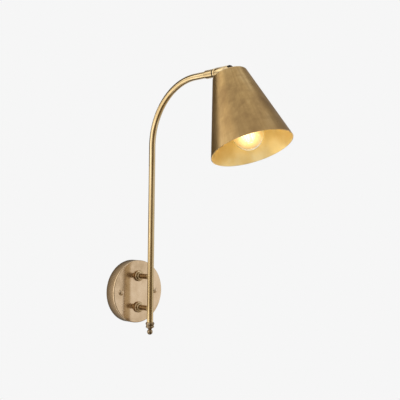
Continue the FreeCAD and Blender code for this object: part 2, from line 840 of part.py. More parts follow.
def make_hinge_block():
    """Fills the barrel and carries the tongue in a pocket open to the front and below."""
    inner = barrel_dia / 2 - barrel_wall - fixed_clearance
    side = side_profile(block_outline(), barrel_dia)
    nose_end = block_nose_run + overrun
    body = side.common(facing_room(rod(inner, -block_back_run - overrun, nose_end)))
    hood_clear = hood_end_run + side_clearance
    lip_clear = hood_lip_height + side_clearance
    front = slab(2 * barrel_dia, (-nose_end, lip_clear), (-hood_clear, barrel_dia))
    nose = side.common(facing_room(rod(barrel_dia / 2, hood_end_run, nose_end))).common(front)
    block = body.fuse(nose).removeSplitter()
    block = block.cut(tongue_pocket())
    block = block.cut(facing_room(rod(block_channel_dia / 2, -block_back_run - overrun, 0)))
    block = block.cut(cross_rod(pivot_screw_dia / 2 + fixed_clearance, -barrel_dia, barrel_dia))
    return leaned(block)


def make_pivot_screw():
    """The tilt's pin: a slotted screw across the barrel, with its nut on the other side."""
    shank = cross_rod(pivot_screw_dia / 2, -pivot_seat_x, pivot_seat_x + pivot_nut_thickness)
    head_start = -pivot_seat_x - pivot_head_height
    head = cross_rod(pivot_head_dia / 2, head_start, -pivot_seat_x)
    slot = Part.makeBox(pivot_slot_depth + overrun, pivot_slot_width, 2 * pivot_head_dia,
                        vec(head_start - overrun, -pivot_slot_width / 2, -pivot_head_dia))
    return leaned(shank.fuse(head).cut(slot).removeSplitter())


def make_pivot_nut():
    """The hexagon nut in its seat on the barrel's side."""
    nut = hexagon(pivot_nut_flats, pivot_seat_x, pivot_seat_x + pivot_nut_thickness,
                  pivot_screw_dia / 2 + fixed_clearance)
    nut.rotate(ORIGIN, Y_AXIS, 90)
    return leaned(nut)


def make_knuckle_flex():
    """The flex through the nipple and the hinge block, up to the tongue."""
    end = -tongue_radius - side_clearance - overrun
    return at_head(rod(knuckle_flex_dia / 2, -nipple_back_run(), end))


def make_stem():
    """Tongue and collar above the shade, hollow threaded shank below."""
    collar_at = pivot_height - stem_collar_thickness
    half = tongue_thickness / 2
    profile = [(-tongue_radius, 0), (0, tongue_radius, "arc"), (tongue_radius, 0)]
    profile += [(tongue_radius, -collar_at), (-tongue_radius, -collar_at)]
    tongue = side_profile(profile, half)
    collar = rod(stem_collar_dia / 2, -pivot_height, -collar_at)
    shank = rod(stem_dia / 2, -pivot_height - stem_length, -pivot_height)
    stem = tongue.fuse([collar, shank]).removeSplitter()
    stem = stem.cut(rod(stem_bore_dia / 2, -pivot_height - stem_length - overrun, -pivot_height))
    slot = slab(wire_slot_width, (0, -pivot_height - overrun), (2 * tongue_radius, -wire_slot_top))
    stem = stem.cut(slot.common(rod(tongue_radius + overrun, -pivot_height - overrun, 0)))
    stem = stem.cut(cross_rod(pivot_screw_dia / 2 + running_clearance, -barrel_dia, barrel_dia))
    return at_shade(stem)


def make_shade():
    """A spun cone with a flat top, a small rounded corner and a plain edge."""
    slope = math.atan2((shade_mouth_dia - shade_top_dia) / 2, shade_height)
    radius = shade_corner_radius
    wall = shade_wall
    mouth = shade_mouth_dia / 2
    # centre of the top corner's rounding, tangent to the flat top and to the cone
    centre_r = shade_top_dia / 2 - radius * (1 - math.sin(slope)) / math.cos(slope)
    centre_a = shade_top_at + radius
    inner_radius = radius - wall if radius > wall else radius / 2
    touch = math.degrees(slope)
    mid_deg = (90 + touch) / 2

    def corner(r, angle_deg):
        angle = math.radians(angle_deg)
        return (centre_r + r * math.cos(angle), centre_a - r * math.sin(angle))

    hole = stem_dia / 2 + fixed_clearance
    inner_mouth = mouth - wall / math.cos(slope)
    points = [(hole, shade_top_at), corner(radius, 90), corner(radius, mid_deg) + ("arc",)]
    points += [corner(radius, touch), (mouth, shade_mouth_at), (inner_mouth, shade_mouth_at)]
    points += [corner(inner_radius, touch), corner(inner_radius, mid_deg) + ("arc",)]
    points += [corner(inner_radius, 90), (hole, shade_top_at + wall)]
    return at_shade(hanging(points))


def make_stem_washer():
    """The washer under the shade's top, on the shank."""
    start = shade_top_at + shade_wall
    return at_shade(pipe(stem_washer_dia / 2, stem_dia / 2 + fixed_clearance, -nut_at, -start))


def make_locknut():
    """The nut that clamps the shade to the stem's collar."""
    hole = stem_dia / 2 + fixed_clearance
    return at_shade(hexagon(locknut_flats, -nut_at - locknut_thickness, -nut_at, hole))


def make_holder_cap():
    """The lampholder's domed cap, screwed on the shank."""
    start = holder_cap_at
    end = start + holder_cap_length
    crown = holder_crown_dia / 2
    radius = holder_dia / 2
    shoulder = start + holder_shoulder_length
    wall = holder_wall
    hole = stem_dia / 2 + fixed_clearance
    bow = ((crown + radius) / 2 + wall / 2, (start + shoulder) / 2 - wall / 2, "arc")
    inner_bow = (bow[0] - wall, bow[1] + wall, "arc")
    points = [(hole, start), (crown, start), bow, (radius, shoulder), (radius, end)]
    points += [(radius - wall, end), (radius - wall, shoulder + wall / 2), inner_bow]
    points += [(crown - wall / 2, start + wall), (hole, start + wall)]
    return at_shade(hanging(points))


def make_holder_skirt():
    """The lampholder's body: a spigot inside the cap, a grip rib and the open mouth."""
    joint = holder_cap_at + holder_cap_length
    start = holder_skirt_at
    end = holder_skirt_at + holder_skirt_length
    radius = holder_dia / 2
    wall = holder_wall
    spigot = radius - wall - fixed_clearance
    inner = insert_dia / 2 + fixed_clearance
    rib = radius + holder_rib_height
    mouth = radius - wall
    rib_end = joint + holder_rib_width
    points = [(inner, start), (spigot, start), (spigot, joint), (rib, joint), (rib, rib_end)]
    points += [(radius, rib_end), (mouth, end), (mouth - wall / 2, end)]
    points += [(inner - wall / 2, end - wall), (inner - wall / 2, insert_end_at), (inner, insert_end_at)]
    return at_shade(hanging(points))


def make_insert():
    """The insulating insert that carries the contacts."""
    disc = rod(insert_dia / 2, -insert_end_at, -insert_at)
    boss = rod(insert_boss_dia / 2, -insert_end_at - insert_boss_length, -insert_end_at)
    insert = disc.fuse(boss).removeSplitter()
    return at_shade(insert.cut(Part.makeCompound(wire_holes())))


def wire_place():
    """How far each lead's hole lies from the insert's axis."""
    return insert_boss_dia / 4 + insert_wire_dia / 2


def wire_holes():
    """The two cutters for the leads, from the insert's back."""
    hole = rod(insert_wire_dia / 2, -insert_end_at + contact_width / 2, -insert_at + overrun)
    return [moved(hole, vec(side * wire_place(), 0, 0)) for side in (-1, 1)]


def make_socket_shell():
    """The threaded sleeve round the bulb's cap, drawn as a plain tube."""
    outer = cap_dia / 2 + side_clearance + shell_wall
    sleeve = pipe(outer, cap_dia / 2 + side_clearance, -shell_end_at, -insert_end_at)
    return at_shade(sleeve)


def make_centre_contact():
    """A sprung arch on the insert's boss: its crown bears on the bulb's centre contact."""
    feet = -insert_end_at - insert_boss_length
    half = insert_boss_dia / 3
    thick = contact_thickness
    profile = [(-half, feet), (0, -bulb_base_at, "arc"), (half, feet), (half - thick, feet)]
    profile += [(0, -bulb_base_at + thick, "arc"), (-half + thick, feet)]
    return at_shade(side_profile(profile, contact_width / 2))


def make_holder_leads():
    """Two leads from the stem's bore to the insert."""
    place = wire_place()
    gather = lead_dia / 2 + fixed_clearance
    start = pivot_height + stem_length - lead_drop
    middle = pivot_height + stem_length
    leads = []
    for side in (-1, 1):
        upper = moved(rod(lead_dia / 2, -middle, -start), vec(side * gather, 0, 0))
        joint = vec(side * gather, 0, -middle)
        foot = vec(side * place, 0, -insert_at)
        slant = bar_between(lead_dia / 2, joint, foot)
        ball = Part.makeSphere(lead_dia / 2, joint)
        end_ball = Part.makeSphere(lead_dia / 2, foot)
        tip = rod(lead_dia / 2, -insert_at - lead_drop / 2, -insert_at)
        lead = upper.fuse([slant, ball, end_ball, moved(tip, vec(side * place, 0, 0))])
        leads.append(at_shade(lead.removeSplitter()))
    return leads


def make_bulb_cap():
    """The bulb's screw cap: a thin shell, drawn in at the foot and flared to the glass."""
    foot = cap_foot_at
    end = foot + cap_length
    radius = cap_dia / 2
    seat = cap_insulator_dia / 2
    flare = cap_flare_dia / 2
    turn = foot + (radius - seat)
    wall = cap_wall
    points = [(seat, foot), (radius, turn), (radius, end), (flare, glass_foot_at)]
    points += [(flare - wall, glass_foot_at), (radius - wall, end), (radius - wall, turn + wall / 2)]
    points += [(seat - wall, foot + wall / 2)]
    return at_shade(hanging(points))


def make_bulb_insulator():
    """The black glass between the cap and its centre contact."""
    foot = bulb_base_at + cap_contact_length
    points = [(0, foot), (cap_contact_dia / 2, foot), (cap_insulator_dia / 2 - cap_wall, cap_foot_at)]
    return at_shade(hanging(points + [(0, cap_foot_at)]))


def make_bulb_contact():
    """The solder button under the cap, a low dome."""
    tip = cap_contact_dia / 2
    end = bulb_base_at + cap_contact_length
    ball = (tip ** 2 + cap_contact_length ** 2) / (2 * cap_contact_length)
    half = math.asin(tip / ball) / 2
    mid = (ball * math.sin(half), bulb_base_at + ball - ball * math.cos(half), "arc")
    return at_shade(hanging([(0, bulb_base_at), mid, (tip, end), (0, end)]))


def glass_points(offset):
    """Half the bulb's section, shifted inwards by an offset: neck, throat curve and ball."""
    ball = bulb_dia / 2
    neck = bulb_neck_dia / 2
    round_radius = bulb_neck_round
    # the throat's curve is tangent to the neck and to the ball
    centre_r = neck + round_radius
    rise = math.sqrt((ball + round_radius) ** 2 - centre_r ** 2)
    centre_a = bulb_centre_at - rise
    angle = math.atan2(rise, centre_r)
    outer = round_radius + offset
    inner_ball = ball - offset
    swing = (centre_r - outer * math.cos(angle / 2), centre_a + outer * math.sin(angle / 2), "arc")
    join = (centre_r - outer * math.cos(angle), centre_a + outer * math.sin(angle))
    far_angle = math.pi / 4 - angle / 2
    far = (inner_ball * math.cos(far_angle), bulb_centre_at + inner_ball * math.sin(far_angle), "arc")
    return [(neck - offset, centre_a), swing, join, far, (0, bulb_centre_at + inner_ball)]


def make_bulb_glass():
    """The blown envelope: open at the foot, where the cap holds it."""
    lip = glass_lip_radius
    points = [(lip - bulb_glass_wall, glass_foot_at), (lip, glass_foot_at)]
    points += glass_points(0) + glass_points(bulb_glass_wall)[::-1]
    return at_shade(hanging(points))


def make_bulb_mount():
    """The glass stem inside, flared where it seals to the envelope's foot."""
    foot = glass_foot_at
    end = foot + mount_length
    flare = glass_lip_radius - bulb_glass_wall - fixed_clearance
    points = [(0, foot), (flare, foot), (mount_dia / 2, foot + mount_length / 3)]
    points += [(mount_dia / 2, end - mount_length / 3), (mount_tip_dia / 2, end), (0, end)]
    return at_shade(hanging(points))


def make_filaments():
    """Light filaments, splayed round the mount and joined by fine leads at both ends."""
    tip = glass_foot_at + mount_length
    foot_at = bulb_centre_at - filament_length / 2
    end_at = bulb_centre_at + filament_length / 2
    hub = vec(0, 0, -end_at - filament_lead_dia)
    solids = [Part.makeSphere(filament_top_radius / 2, hub)]
    for step in range(filament_count):
        angle = 2 * math.pi * (step + 0.5) / filament_count
        aim = vec(math.cos(angle), math.sin(angle), 0)
        low = aim * filament_foot_radius + vec(0, 0, -foot_at)
        high = aim * filament_top_radius + vec(0, 0, -end_at)
        root = aim * (mount_tip_dia / 2 - filament_lead_dia) + vec(0, 0, -tip - filament_lead_dia / 2)
        solids.append(bar_between(filament_dia / 2, low, high))
        solids.append(bar_between(filament_lead_dia / 2, hub, high))
        solids.append(bar_between(filament_lead_dia / 2, root, low))
    return at_shade(solids[0].fuse(solids[1:]).removeSplitter())


save("backplate", make_backplate())
save("wall_bracket", make_bracket())
save("cover_screws", *make_cover_screws())
save("earth_screw", make_earth_screw())
save("earth_terminal", make_earth_terminal())
save("terminal_block", make_terminal_block())
save("terminal_screws", *make_terminal_screws())
save("post_upper", make_post(1, True))
save("post_lower", make_post(-1, False))
save("post_washers", *make_post_washers())
save("post_nuts", *make_post_nuts())
save("arm_tube", make_arm())
save("arm_flex", make_arm_flex())
save("inner_leads", *make_inner_leads())
save("finial", make_finial())
save("arm_ferrule", make_ferrule())
save("swivel_washer", make_swivel_washer())
save("swivel_nipple", make_swivel_nipple())
save("swivel_nut", make_swivel_nut())
save("knuckle_barrel", make_knuckle_barrel())
save("hinge_block", make_hinge_block())
save("pivot_screw", make_pivot_screw())
save("pivot_nut", make_pivot_nut())
save("knuckle_flex", make_knuckle_flex())
save("shade_stem", make_stem())
save("shade", make_shade())
save("stem_washer", make_stem_washer())
save("stem_locknut", make_locknut())
save("lampholder_cap", make_holder_cap())
save("lampholder_skirt", make_holder_skirt())
save("lampholder_insert", make_insert())
save("socket_shell", make_socket_shell())
save("centre_contact", make_centre_contact())
save("holder_leads", *make_holder_leads())
save("bulb_cap", make_bulb_cap())
save("bulb_insulator", make_bulb_insulator())
save("bulb_contact", make_bulb_contact())
save("bulb_glass", make_bulb_glass())
save("bulb_mount", make_bulb_mount())
save("bulb_filaments", make_filaments())
print("pivot at", round(pivot_y, 3), round(pivot_z, 3))
print("bend end at", round(bend_end_y, 3), round(bend_end_z, 3))
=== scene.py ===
# %% [markdown]
# A swan-neck wall lamp in aged brass
#
# A round cup on the wall carries two turned posts. They hold an upright tube
# with a turned finial below and a wide bend above. A knuckle at the tube's end
# lets a cone of spun brass swing from side to side and tilt up and down.
#
# The solid model of the lamp is in model.glb. We load it first, because every
# piece made here takes its place and its size from it.

# %% Load the imported lamp
import bmesh
import bpy
import math
from mathutils import Matrix, Vector


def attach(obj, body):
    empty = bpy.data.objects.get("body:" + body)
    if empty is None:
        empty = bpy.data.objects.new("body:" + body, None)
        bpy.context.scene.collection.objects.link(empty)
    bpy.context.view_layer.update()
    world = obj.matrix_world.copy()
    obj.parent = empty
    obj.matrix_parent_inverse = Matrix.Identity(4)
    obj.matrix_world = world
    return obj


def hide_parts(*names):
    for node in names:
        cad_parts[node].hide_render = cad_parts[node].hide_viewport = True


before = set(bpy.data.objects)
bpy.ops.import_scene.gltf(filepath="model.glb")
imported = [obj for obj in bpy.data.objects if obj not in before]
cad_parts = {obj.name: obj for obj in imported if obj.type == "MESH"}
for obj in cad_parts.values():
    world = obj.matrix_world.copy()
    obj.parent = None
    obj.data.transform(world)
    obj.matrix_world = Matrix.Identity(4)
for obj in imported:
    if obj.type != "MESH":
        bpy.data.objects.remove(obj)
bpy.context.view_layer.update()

# %% [markdown]
# Sizes
#
# A lamp maker draws in millimetres, and Blender's unit here is the metre. The
# sizes that more than one piece needs are below, and each piece's own sizes
# stand in its cell. Each one is written once, and MM turns it into metres where
# a mesh is made.

# %% The drawing's sizes
MM = 0.001
PLATE_DEPTH = 18.5
COVER_SCREW_X = 35.2
POST_SPACING = 50.0
ARM_OUT = 48.4
ARM_TAIL = 46.3
ARM_RADIUS = 5.0
BEND_START = 231.8
BEND_RADIUS = 100.0
RISE_DEG = 1.5
ARM_RUN = 27.4
PIVOT_RUN = 68.0
TILT_DEG = 22.7
FIT = 0.05
FULL_TURN = 2 * math.pi

rise = math.radians(RISE_DEG)
bend_end_y = -ARM_OUT - BEND_RADIUS * (1 - math.sin(rise))
bend_end_z = BEND_START + BEND_RADIUS * math.cos(rise)
pivot_y = bend_end_y - PIVOT_RUN * math.cos(rise)
pivot_z = bend_end_z + PIVOT_RUN * math.sin(rise)
print("pivot of the shade in millimetres:", round(pivot_y, 3), round(pivot_z, 3))

# %% [markdown]
# A short way to write nodes
#
# Geometry trees and materials are both made of nodes and links. One small
# helper adds a node, sets its options and fills its inputs: a plain value is
# written into the socket, and a socket of another node is linked to it. The
# others give short names to the nodes that are used most, so that a sum in a
# tree reads as a sum.


# %% Node helpers
def add(tree, kind, inputs=None, **options):
    """One node: options are its settings, inputs are values or other nodes' sockets."""
    made = tree.nodes.new(kind)
    for name, value in options.items():
        setattr(made, name, value)
    for name, value in (inputs or {}).items():
        if isinstance(value, bpy.types.NodeSocket):
            tree.links.new(value, made.inputs[name])
        else:
            made.inputs[name].default_value = value
    return made


def maths(tree, operation, first, second=0.0):
    """The result of one Math node."""
    return add(tree, "ShaderNodeMath", {0: first, 1: second}, operation=operation).outputs[0]


def sums(tree):
    """Plus, minus and times for one tree."""
    def sign(operation):
        return lambda first, second: maths(tree, operation, first, second)
    return sign("ADD"), sign("SUBTRACT"), sign("MULTIPLY")


def vector(tree, operation, first, second):
    """The result of one Vector Math node."""
    return add(tree, "ShaderNodeVectorMath", {0: first, 1: second}, operation=operation).outputs[0]


def parts(tree, value):
    """The three numbers of a vector."""
    return add(tree, "ShaderNodeSeparateXYZ", {0: value}).outputs


def joined(tree, x=0.0, y=0.0, z=0.0):
    """A vector from three numbers."""
    return add(tree, "ShaderNodeCombineXYZ", {0: x, 1: y, 2: z}).outputs[0]


def new_group(name, kind, inputs, outputs):
    """A node group with named sockets, what it is given and where its results go."""
    tree = bpy.data.node_groups.new(name, kind)
    for side, rows in (("INPUT", inputs), ("OUTPUT", outputs)):
        for label, socket, *value in rows:
            made = tree.interface.new_socket(label, in_out=side, socket_type="NodeSocket" + socket)
            if value:
                made.default_value = value[0]
    return tree, tree.nodes.new("NodeGroupInput").outputs, tree.nodes.new("NodeGroupOutput").inputs


def shown(name, data):
    """A new object in the scene."""
    shape = bpy.data.objects.new(name, data)
    bpy.context.scene.collection.objects.link(shape)
    return shape


print("node helpers ready")

# %% [markdown]
# A grid to wrap
#
# Plate, posts, finial, ferrule, shade and bulb are all round about one axis. On
# a lathe the tool follows an outline while the work turns. Blender's Screw or
# Spin could do that, but they give no texture coordinates, and they know
# nothing of a thread. A flat grid is wrapped round the axis instead. Its
# columns go round, and its rows follow the outline, which comes in as a line of
# points with radius in X and height in Z. Corners are rounded first, because a
# real edge is never sharp and the small round is what catches the light.
#
# Some numbers travel with each outline point: how far its corner is rounded,
# whether it is an outer edge or a crease, how deep a thread or a rib is cut
# there, and whether it takes the second material. The texture's first
# coordinate goes once round the piece, and its second one runs along the
# outline, one unit to each decimetre.

# %% The wrapped grid
CHART_SCALE = 10.0


def position(tree):
    """The place of each point."""
    return add(tree, "GeometryNodeInputPosition").outputs[0]


def carried(tree, name):
    """A number that travels with each point."""
    return add(tree, "GeometryNodeInputNamedAttribute", {"Name": name},
               data_type="FLOAT").outputs["Attribute"]


def row_sample(tree, curve, value, row, kind="FLOAT"):
    """What the outline carries at a row of the grid."""
    return add(tree, "GeometryNodeSampleIndex", {"Geometry": curve, "Value": value, "Index": row},
               data_type=kind, domain="POINT").outputs["Value"]


def stored(tree, mesh, name, value, kind="FLOAT", domain="POINT"):
    """Keeps a value on a mesh under a name."""
    return add(tree, "GeometryNodeStoreNamedAttribute", {"Geometry": mesh, "Name": name, "Value": value},
               data_type=kind, domain=domain).outputs[0]


def rounded(tree, line, steps):
    """A line of edges as a curve with rounded corners."""
    curve = add(tree, "GeometryNodeMeshToCurve", {"Mesh": line}).outputs[0]
    return add(tree, "GeometryNodeFilletCurve", {
        "Curve": curve, "Count": steps, "Radius": carried(tree, "round"), "Limit Radius": True},
        mode="POLY").outputs[0]


def wrapped_grid(tree, outline, sides, corner_steps):
    """A grid with a row for each point of the rounded outline, and its share round and its row."""
    plus, minus, times = sums(tree)
    curve = rounded(tree, outline, corner_steps)
    rows = add(tree, "GeometryNodeAttributeDomainSize", {"Geometry": curve},
               component="CURVE").outputs["Point Count"]
    grid = add(tree, "GeometryNodeMeshGrid", {
        "Size X": 1.0, "Size Y": 1.0, "Vertices X": plus(sides, 1.0), "Vertices Y": rows}).outputs
    last = minus(rows, 1.0)
    place, chart = parts(tree, position(tree)), parts(tree, grid["UV Map"])
    share = plus(place[0], 0.5)
    row = maths(tree, "ROUND", times(plus(place[1], 0.5), last))
    chart_row = maths(tree, "ROUND", times(chart[1], last))
    run = row_sample(tree, curve, add(tree, "GeometryNodeSplineParameter").outputs["Length"], chart_row)
    mesh = stored(tree, grid["Mesh"], "UVMap", joined(tree, chart[0], times(run, CHART_SCALE)),
                  "FLOAT2", "CORNER")
    for name in ("edge", "second"):
        mesh = stored(tree, mesh, name, row_sample(tree, curve, carried(tree, name), row))
    return mesh, curve, share, row


print("wrapped grid ready")

# %% [markdown]
# Clean, smooth and coat
#
# The grid's two sides meet in a seam, and a row on the axis shrinks to a pole.
# Merging what lies at the same place closes both. Then all faces are smoothed
# but the folds that are sharp on the real piece, and the materials are set.

# %% Clean, smooth and coat
WELD = 2e-6
SHARP_FOLD = math.radians(38)


def smoothed(tree, mesh):
    """Merges what meets, then smooths all but the real edges."""
    mesh = add(tree, "GeometryNodeMergeByDistance", {"Geometry": mesh, "Distance": WELD}).outputs[0]
    mesh = add(tree, "GeometryNodeSetShadeSmooth", {"Geometry": mesh, "Shade Smooth": True},
               domain="FACE").outputs[0]
    fold = add(tree, "GeometryNodeInputMeshEdgeAngle").outputs["Unsigned Angle"]
    return add(tree, "GeometryNodeSetShadeSmooth", {
        "Geometry": mesh, "Selection": maths(tree, "GREATER_THAN", fold, SHARP_FOLD), "Shade Smooth": False},
        domain="EDGE").outputs[0]


def real(tree, mesh):
    """Copies made into a real mesh."""
    return add(tree, "GeometryNodeRealizeInstances", {"Geometry": mesh}).outputs[0]


def coated(tree, mesh, material, chosen=True):
    """Sets a material on the chosen faces."""
    return add(tree, "GeometryNodeSetMaterial", {
        "Geometry": mesh, "Selection": chosen, "Material": material}).outputs[0]


def moved(tree, mesh, place=(0.0, 0.0, 0.0), turn=(0.0, 0.0, 0.0)):
    """A mesh turned and then placed."""
    return add(tree, "GeometryNodeTransform", {
        "Geometry": mesh, "Translation": place, "Rotation": turn}).outputs[0]


def finished(tree, mesh, given):
    """Places a piece, closes seam and poles, smooths, and sets both materials."""
    mesh = real(tree, smoothed(tree, moved(tree, mesh, given["Place"], given["Turn"])))
    second = maths(tree, "GREATER_THAN", carried(tree, "second"), 0.5)
    return coated(tree, coated(tree, mesh, given["Material"]), given["Second material"], second)


print("smoothing and coating ready")

# %% [markdown]
# The turned piece
#
# Each point of the grid is swung round the axis at the outline's radius. Three
# small changes are added on the way: a thread is a wave that climbs one pitch
# in each turn, ribs for the fingers are a wave round the axis, and a saddle
# hollows the end of a post so that it sits on a round tube.

# %% Geometry tree for turned pieces
SADDLE_SPARE = 1e-5
COATS = [("Turn", "Vector"), ("Place", "Vector"), ("Material", "Material"), ("Second material", "Material")]


def thread_cut(tree, curve, row, height, pitch, share):
    """How deep the thread is cut at a point."""
    plus, minus, times = sums(tree)
    phase = times(plus(maths(tree, "DIVIDE", height, pitch), share), FULL_TURN)
    groove = times(minus(1.0, maths(tree, "COSINE", phase)), 0.5)
    return times(groove, row_sample(tree, curve, carried(tree, "thread"), row))


def rib_cut(tree, curve, row, angle, ribs):
    """How deep the space between two ribs is at a point."""
    minus, times = sums(tree)[1:]
    wave = maths(tree, "ABSOLUTE", maths(tree, "SINE", times(angle, times(ribs, 0.5))))
    return times(minus(1.0, wave), row_sample(tree, curve, carried(tree, "rib"), row))


def saddled(tree, height, x, radius, top):
    """The height of a point once the end at the top is hollowed to sit on a tube along Y."""
    plus, minus, times = sums(tree)
    inside = minus(times(radius, radius), times(x, x))
    hollow = minus(top, maths(tree, "SQRT", maths(tree, "MAXIMUM", inside, 0.0)))
    at_end = times(maths(tree, "GREATER_THAN", radius, 0.0),
                   maths(tree, "GREATER_THAN", height, minus(top, SADDLE_SPARE)))
    return plus(height, times(at_end, minus(hollow, height)))


def turned_tree():
    """Outline in, turned piece out."""
    tree, given, result = new_group("Turned piece", "GeometryNodeTree", [
        ("Outline", "Geometry"), ("Sides", "Int", 64), ("Corner steps", "Int", 4),
        ("Thread pitch", "Float", MM), ("Ribs", "Int", 0), ("Saddle radius", "Float", 0.0),
        ("Saddle height", "Float", 0.0)] + COATS, [("Piece", "Geometry")])
    minus, times = sums(tree)[1:]
    mesh, curve, share, row = wrapped_grid(tree, given["Outline"], given["Sides"], given["Corner steps"])
    point = parts(tree, row_sample(tree, curve, position(tree), row, "FLOAT_VECTOR"))
    angle = times(share, FULL_TURN)
    thread = thread_cut(tree, curve, row, point[2], given["Thread pitch"], share)
    radius = minus(minus(point[0], thread), rib_cut(tree, curve, row, angle, given["Ribs"]))
    x, y = (times(radius, maths(tree, wave, angle)) for wave in ("COSINE", "SINE"))
    height = saddled(tree, point[2], x, given["Saddle radius"], given["Saddle height"])
    spun = add(tree, "GeometryNodeSetPosition", {
        "Geometry": mesh, "Position": joined(tree, x, y, height)}).outputs[0]
    tree.links.new(finished(tree, spun, given), result["Piece"])
    return tree


TURNED = turned_tree()
print("turned piece:", len(TURNED.nodes), "nodes")

# %% [markdown]
# The swept piece
#
# The arm is a straight tube bent round a former. It is the same wrapped grid,
# but its rows now stand square to a path instead of an axis. The path has only
# three points, and the tree rounds its corner to the bend's radius, as the tube
# bender does. Leads and filaments use the same tree. Here an outline point's
# height is its share of the path's length.


# %% Geometry tree for swept pieces
def swept_tree():
    """Path and outline in, swept piece out."""
    tree, given, result = new_group("Swept piece", "GeometryNodeTree", [
        ("Lines", "Geometry"), ("Sides", "Int", 24), ("Bend steps", "Int", 16)] + COATS,
        [("Piece", "Geometry")])
    times = sums(tree)[2]
    lines = add(tree, "GeometryNodeSeparateGeometry", {
        "Geometry": given["Lines"], "Selection": maths(tree, "GREATER_THAN", carried(tree, "path"), 0.5)},
        domain="POINT").outputs
    path = rounded(tree, lines[0], given["Bend steps"])
    mesh, curve, share, row = wrapped_grid(tree, lines[1], given["Sides"], 1)
    point = parts(tree, row_sample(tree, curve, position(tree), row, "FLOAT_VECTOR"))
    angle = times(share, FULL_TURN)
    at = add(tree, "GeometryNodeSampleCurve", {"Curves": path, "Factor": point[2]}, mode="FACTOR").outputs
    steps = []
    for axis, wave in ((at["Normal"], "COSINE"),
                       (vector(tree, "CROSS_PRODUCT", at["Tangent"], at["Normal"]), "SINE")):
        reach = times(point[0], maths(tree, wave, angle))
        step = add(tree, "ShaderNodeVectorMath", {0: axis, "Scale": reach}, operation="SCALE")
        steps.append(step.outputs[0])
    there = vector(tree, "ADD", vector(tree, "ADD", *steps), at["Position"])
    swept = add(tree, "GeometryNodeSetPosition", {"Geometry": mesh, "Position": there}).outputs[0]
    tree.links.new(finished(tree, swept, given), result["Piece"])
    return tree


SWEPT = swept_tree()
print("swept piece:", len(SWEPT.nodes), "nodes")

# %% [markdown]
# Holes, slots and copies
#
# A drilled hole and a driver slot are both a plain body taken away, and both
# come in rows: two post holes, two screw holes, two screw heads. One tree cuts
# a row of cylinders out of a piece. Another cuts one slot and then sets copies
# of the screw in a row. A third sets copies round an axis, for the filaments.
# Copies are made real at the end, because an export keeps only real meshes.

# %% Geometry trees for holes and copies
DRILL_SIDES = 48
ROW = [("Count", "Int", 2), ("First", "Vector"), ("Step", "Vector")]


def row_points(tree, count, start=(0.0, 0.0, 0.0), step=(0.0, 0.0, 0.0)):
    """A row of points."""
    return add(tree, "GeometryNodeMeshLine", {
        "Count": count, "Start Location": start, "Offset": step}, mode="OFFSET").outputs[0]


def copies(tree, points, one, turn=(0.0, 0.0, 0.0)):
    """Real copies of a piece at points."""
    return real(tree, add(tree, "GeometryNodeInstanceOnPoints", {
        "Points": points, "Instance": one, "Rotation": turn}).outputs[0])


def cut_away(tree, mesh, tool):
    """Takes a tool's shape out of a piece and smooths it again."""
    return smoothed(tree, add(tree, "GeometryNodeMeshBoolean", {"Mesh 1": mesh, "Mesh 2": tool},
                              operation="DIFFERENCE", solver="EXACT").outputs["Mesh"])


def drilled_tree():
    """A piece with a row of round holes through it along its own Y axis."""
    tree, given, result = new_group("Drilled piece", "GeometryNodeTree", [
        ("Piece", "Geometry"), ("Hole radius", "Float", MM), ("Depth", "Float", 10 * MM)] + ROW + [
        ("Material", "Material")], [("Piece", "Geometry")])
    drill = add(tree, "GeometryNodeMeshCylinder", {
        "Vertices": DRILL_SIDES, "Radius": given["Hole radius"], "Depth": given["Depth"]}).outputs["Mesh"]
    drill = moved(tree, drill, turn=(math.radians(90), 0.0, 0.0))
    drills = copies(tree, row_points(tree, given["Count"], given["First"], given["Step"]), drill)
    cut = cut_away(tree, given["Piece"], coated(tree, drills, given["Material"]))
    tree.links.new(real(tree, cut), result["Piece"])
    return tree


def used(tree, group, given, labels):
    """The result of another tree, fed from this tree's own inputs."""
    made = add(tree, "GeometryNodeGroup", node_tree=group)
    for label in labels:
        tree.links.new(given[label], made.inputs[label])
    return made.outputs[0]


def slotted_tree():
    """A turned screw with a driver slot, copied in a row."""
    tree, given, result = new_group("Slotted screws", "GeometryNodeTree", [
        ("Outline", "Geometry"), ("Sides", "Int", 64), ("Corner steps", "Int", 4), ("Slot size", "Vector"),
        ("Slot place", "Vector"), ("Thread pitch", "Float", MM)] + ROW + [
        ("Turn", "Vector"), ("Material", "Material")], [("Piece", "Geometry")])
    screw = used(tree, TURNED, given, ("Outline", "Sides", "Corner steps", "Thread pitch", "Material"))
    bar = add(tree, "GeometryNodeMeshCube", {"Size": given["Slot size"]}).outputs["Mesh"]
    bar = coated(tree, moved(tree, bar, given["Slot place"]), given["Material"])
    screw = moved(tree, cut_away(tree, screw, bar), turn=given["Turn"])
    row = copies(tree, row_points(tree, given["Count"], given["First"], given["Step"]), screw)
    tree.links.new(coated(tree, row, given["Material"]), result["Piece"])
    return tree


def ring_tree():
    """Copies of a swept piece round its own Z axis, then turned and placed."""
    tree, given, result = new_group("Ring of copies", "GeometryNodeTree", [
        ("Lines", "Geometry"), ("Sides", "Int", 16), ("Bend steps", "Int", 4), ("Count", "Int", 4)] + COATS,
        [("Piece", "Geometry")])
    plus, _, times = sums(tree)
    one = used(tree, SWEPT, given, ("Lines", "Sides", "Bend steps", "Material", "Second material"))
    index = add(tree, "GeometryNodeInputIndex").outputs[0]
    spin = times(plus(index, 0.5), maths(tree, "DIVIDE", FULL_TURN, given["Count"]))
    ring = copies(tree, row_points(tree, given["Count"]), one, joined(tree, z=spin))
    tree.links.new(moved(tree, ring, given["Place"], given["Turn"]), result["Piece"])
    return tree


DRILLED, SLOTTED, RING = drilled_tree(), slotted_tree(), ring_tree()
print("trees for holes and copies:", [tree.name for tree in (DRILLED, SLOTTED, RING)])

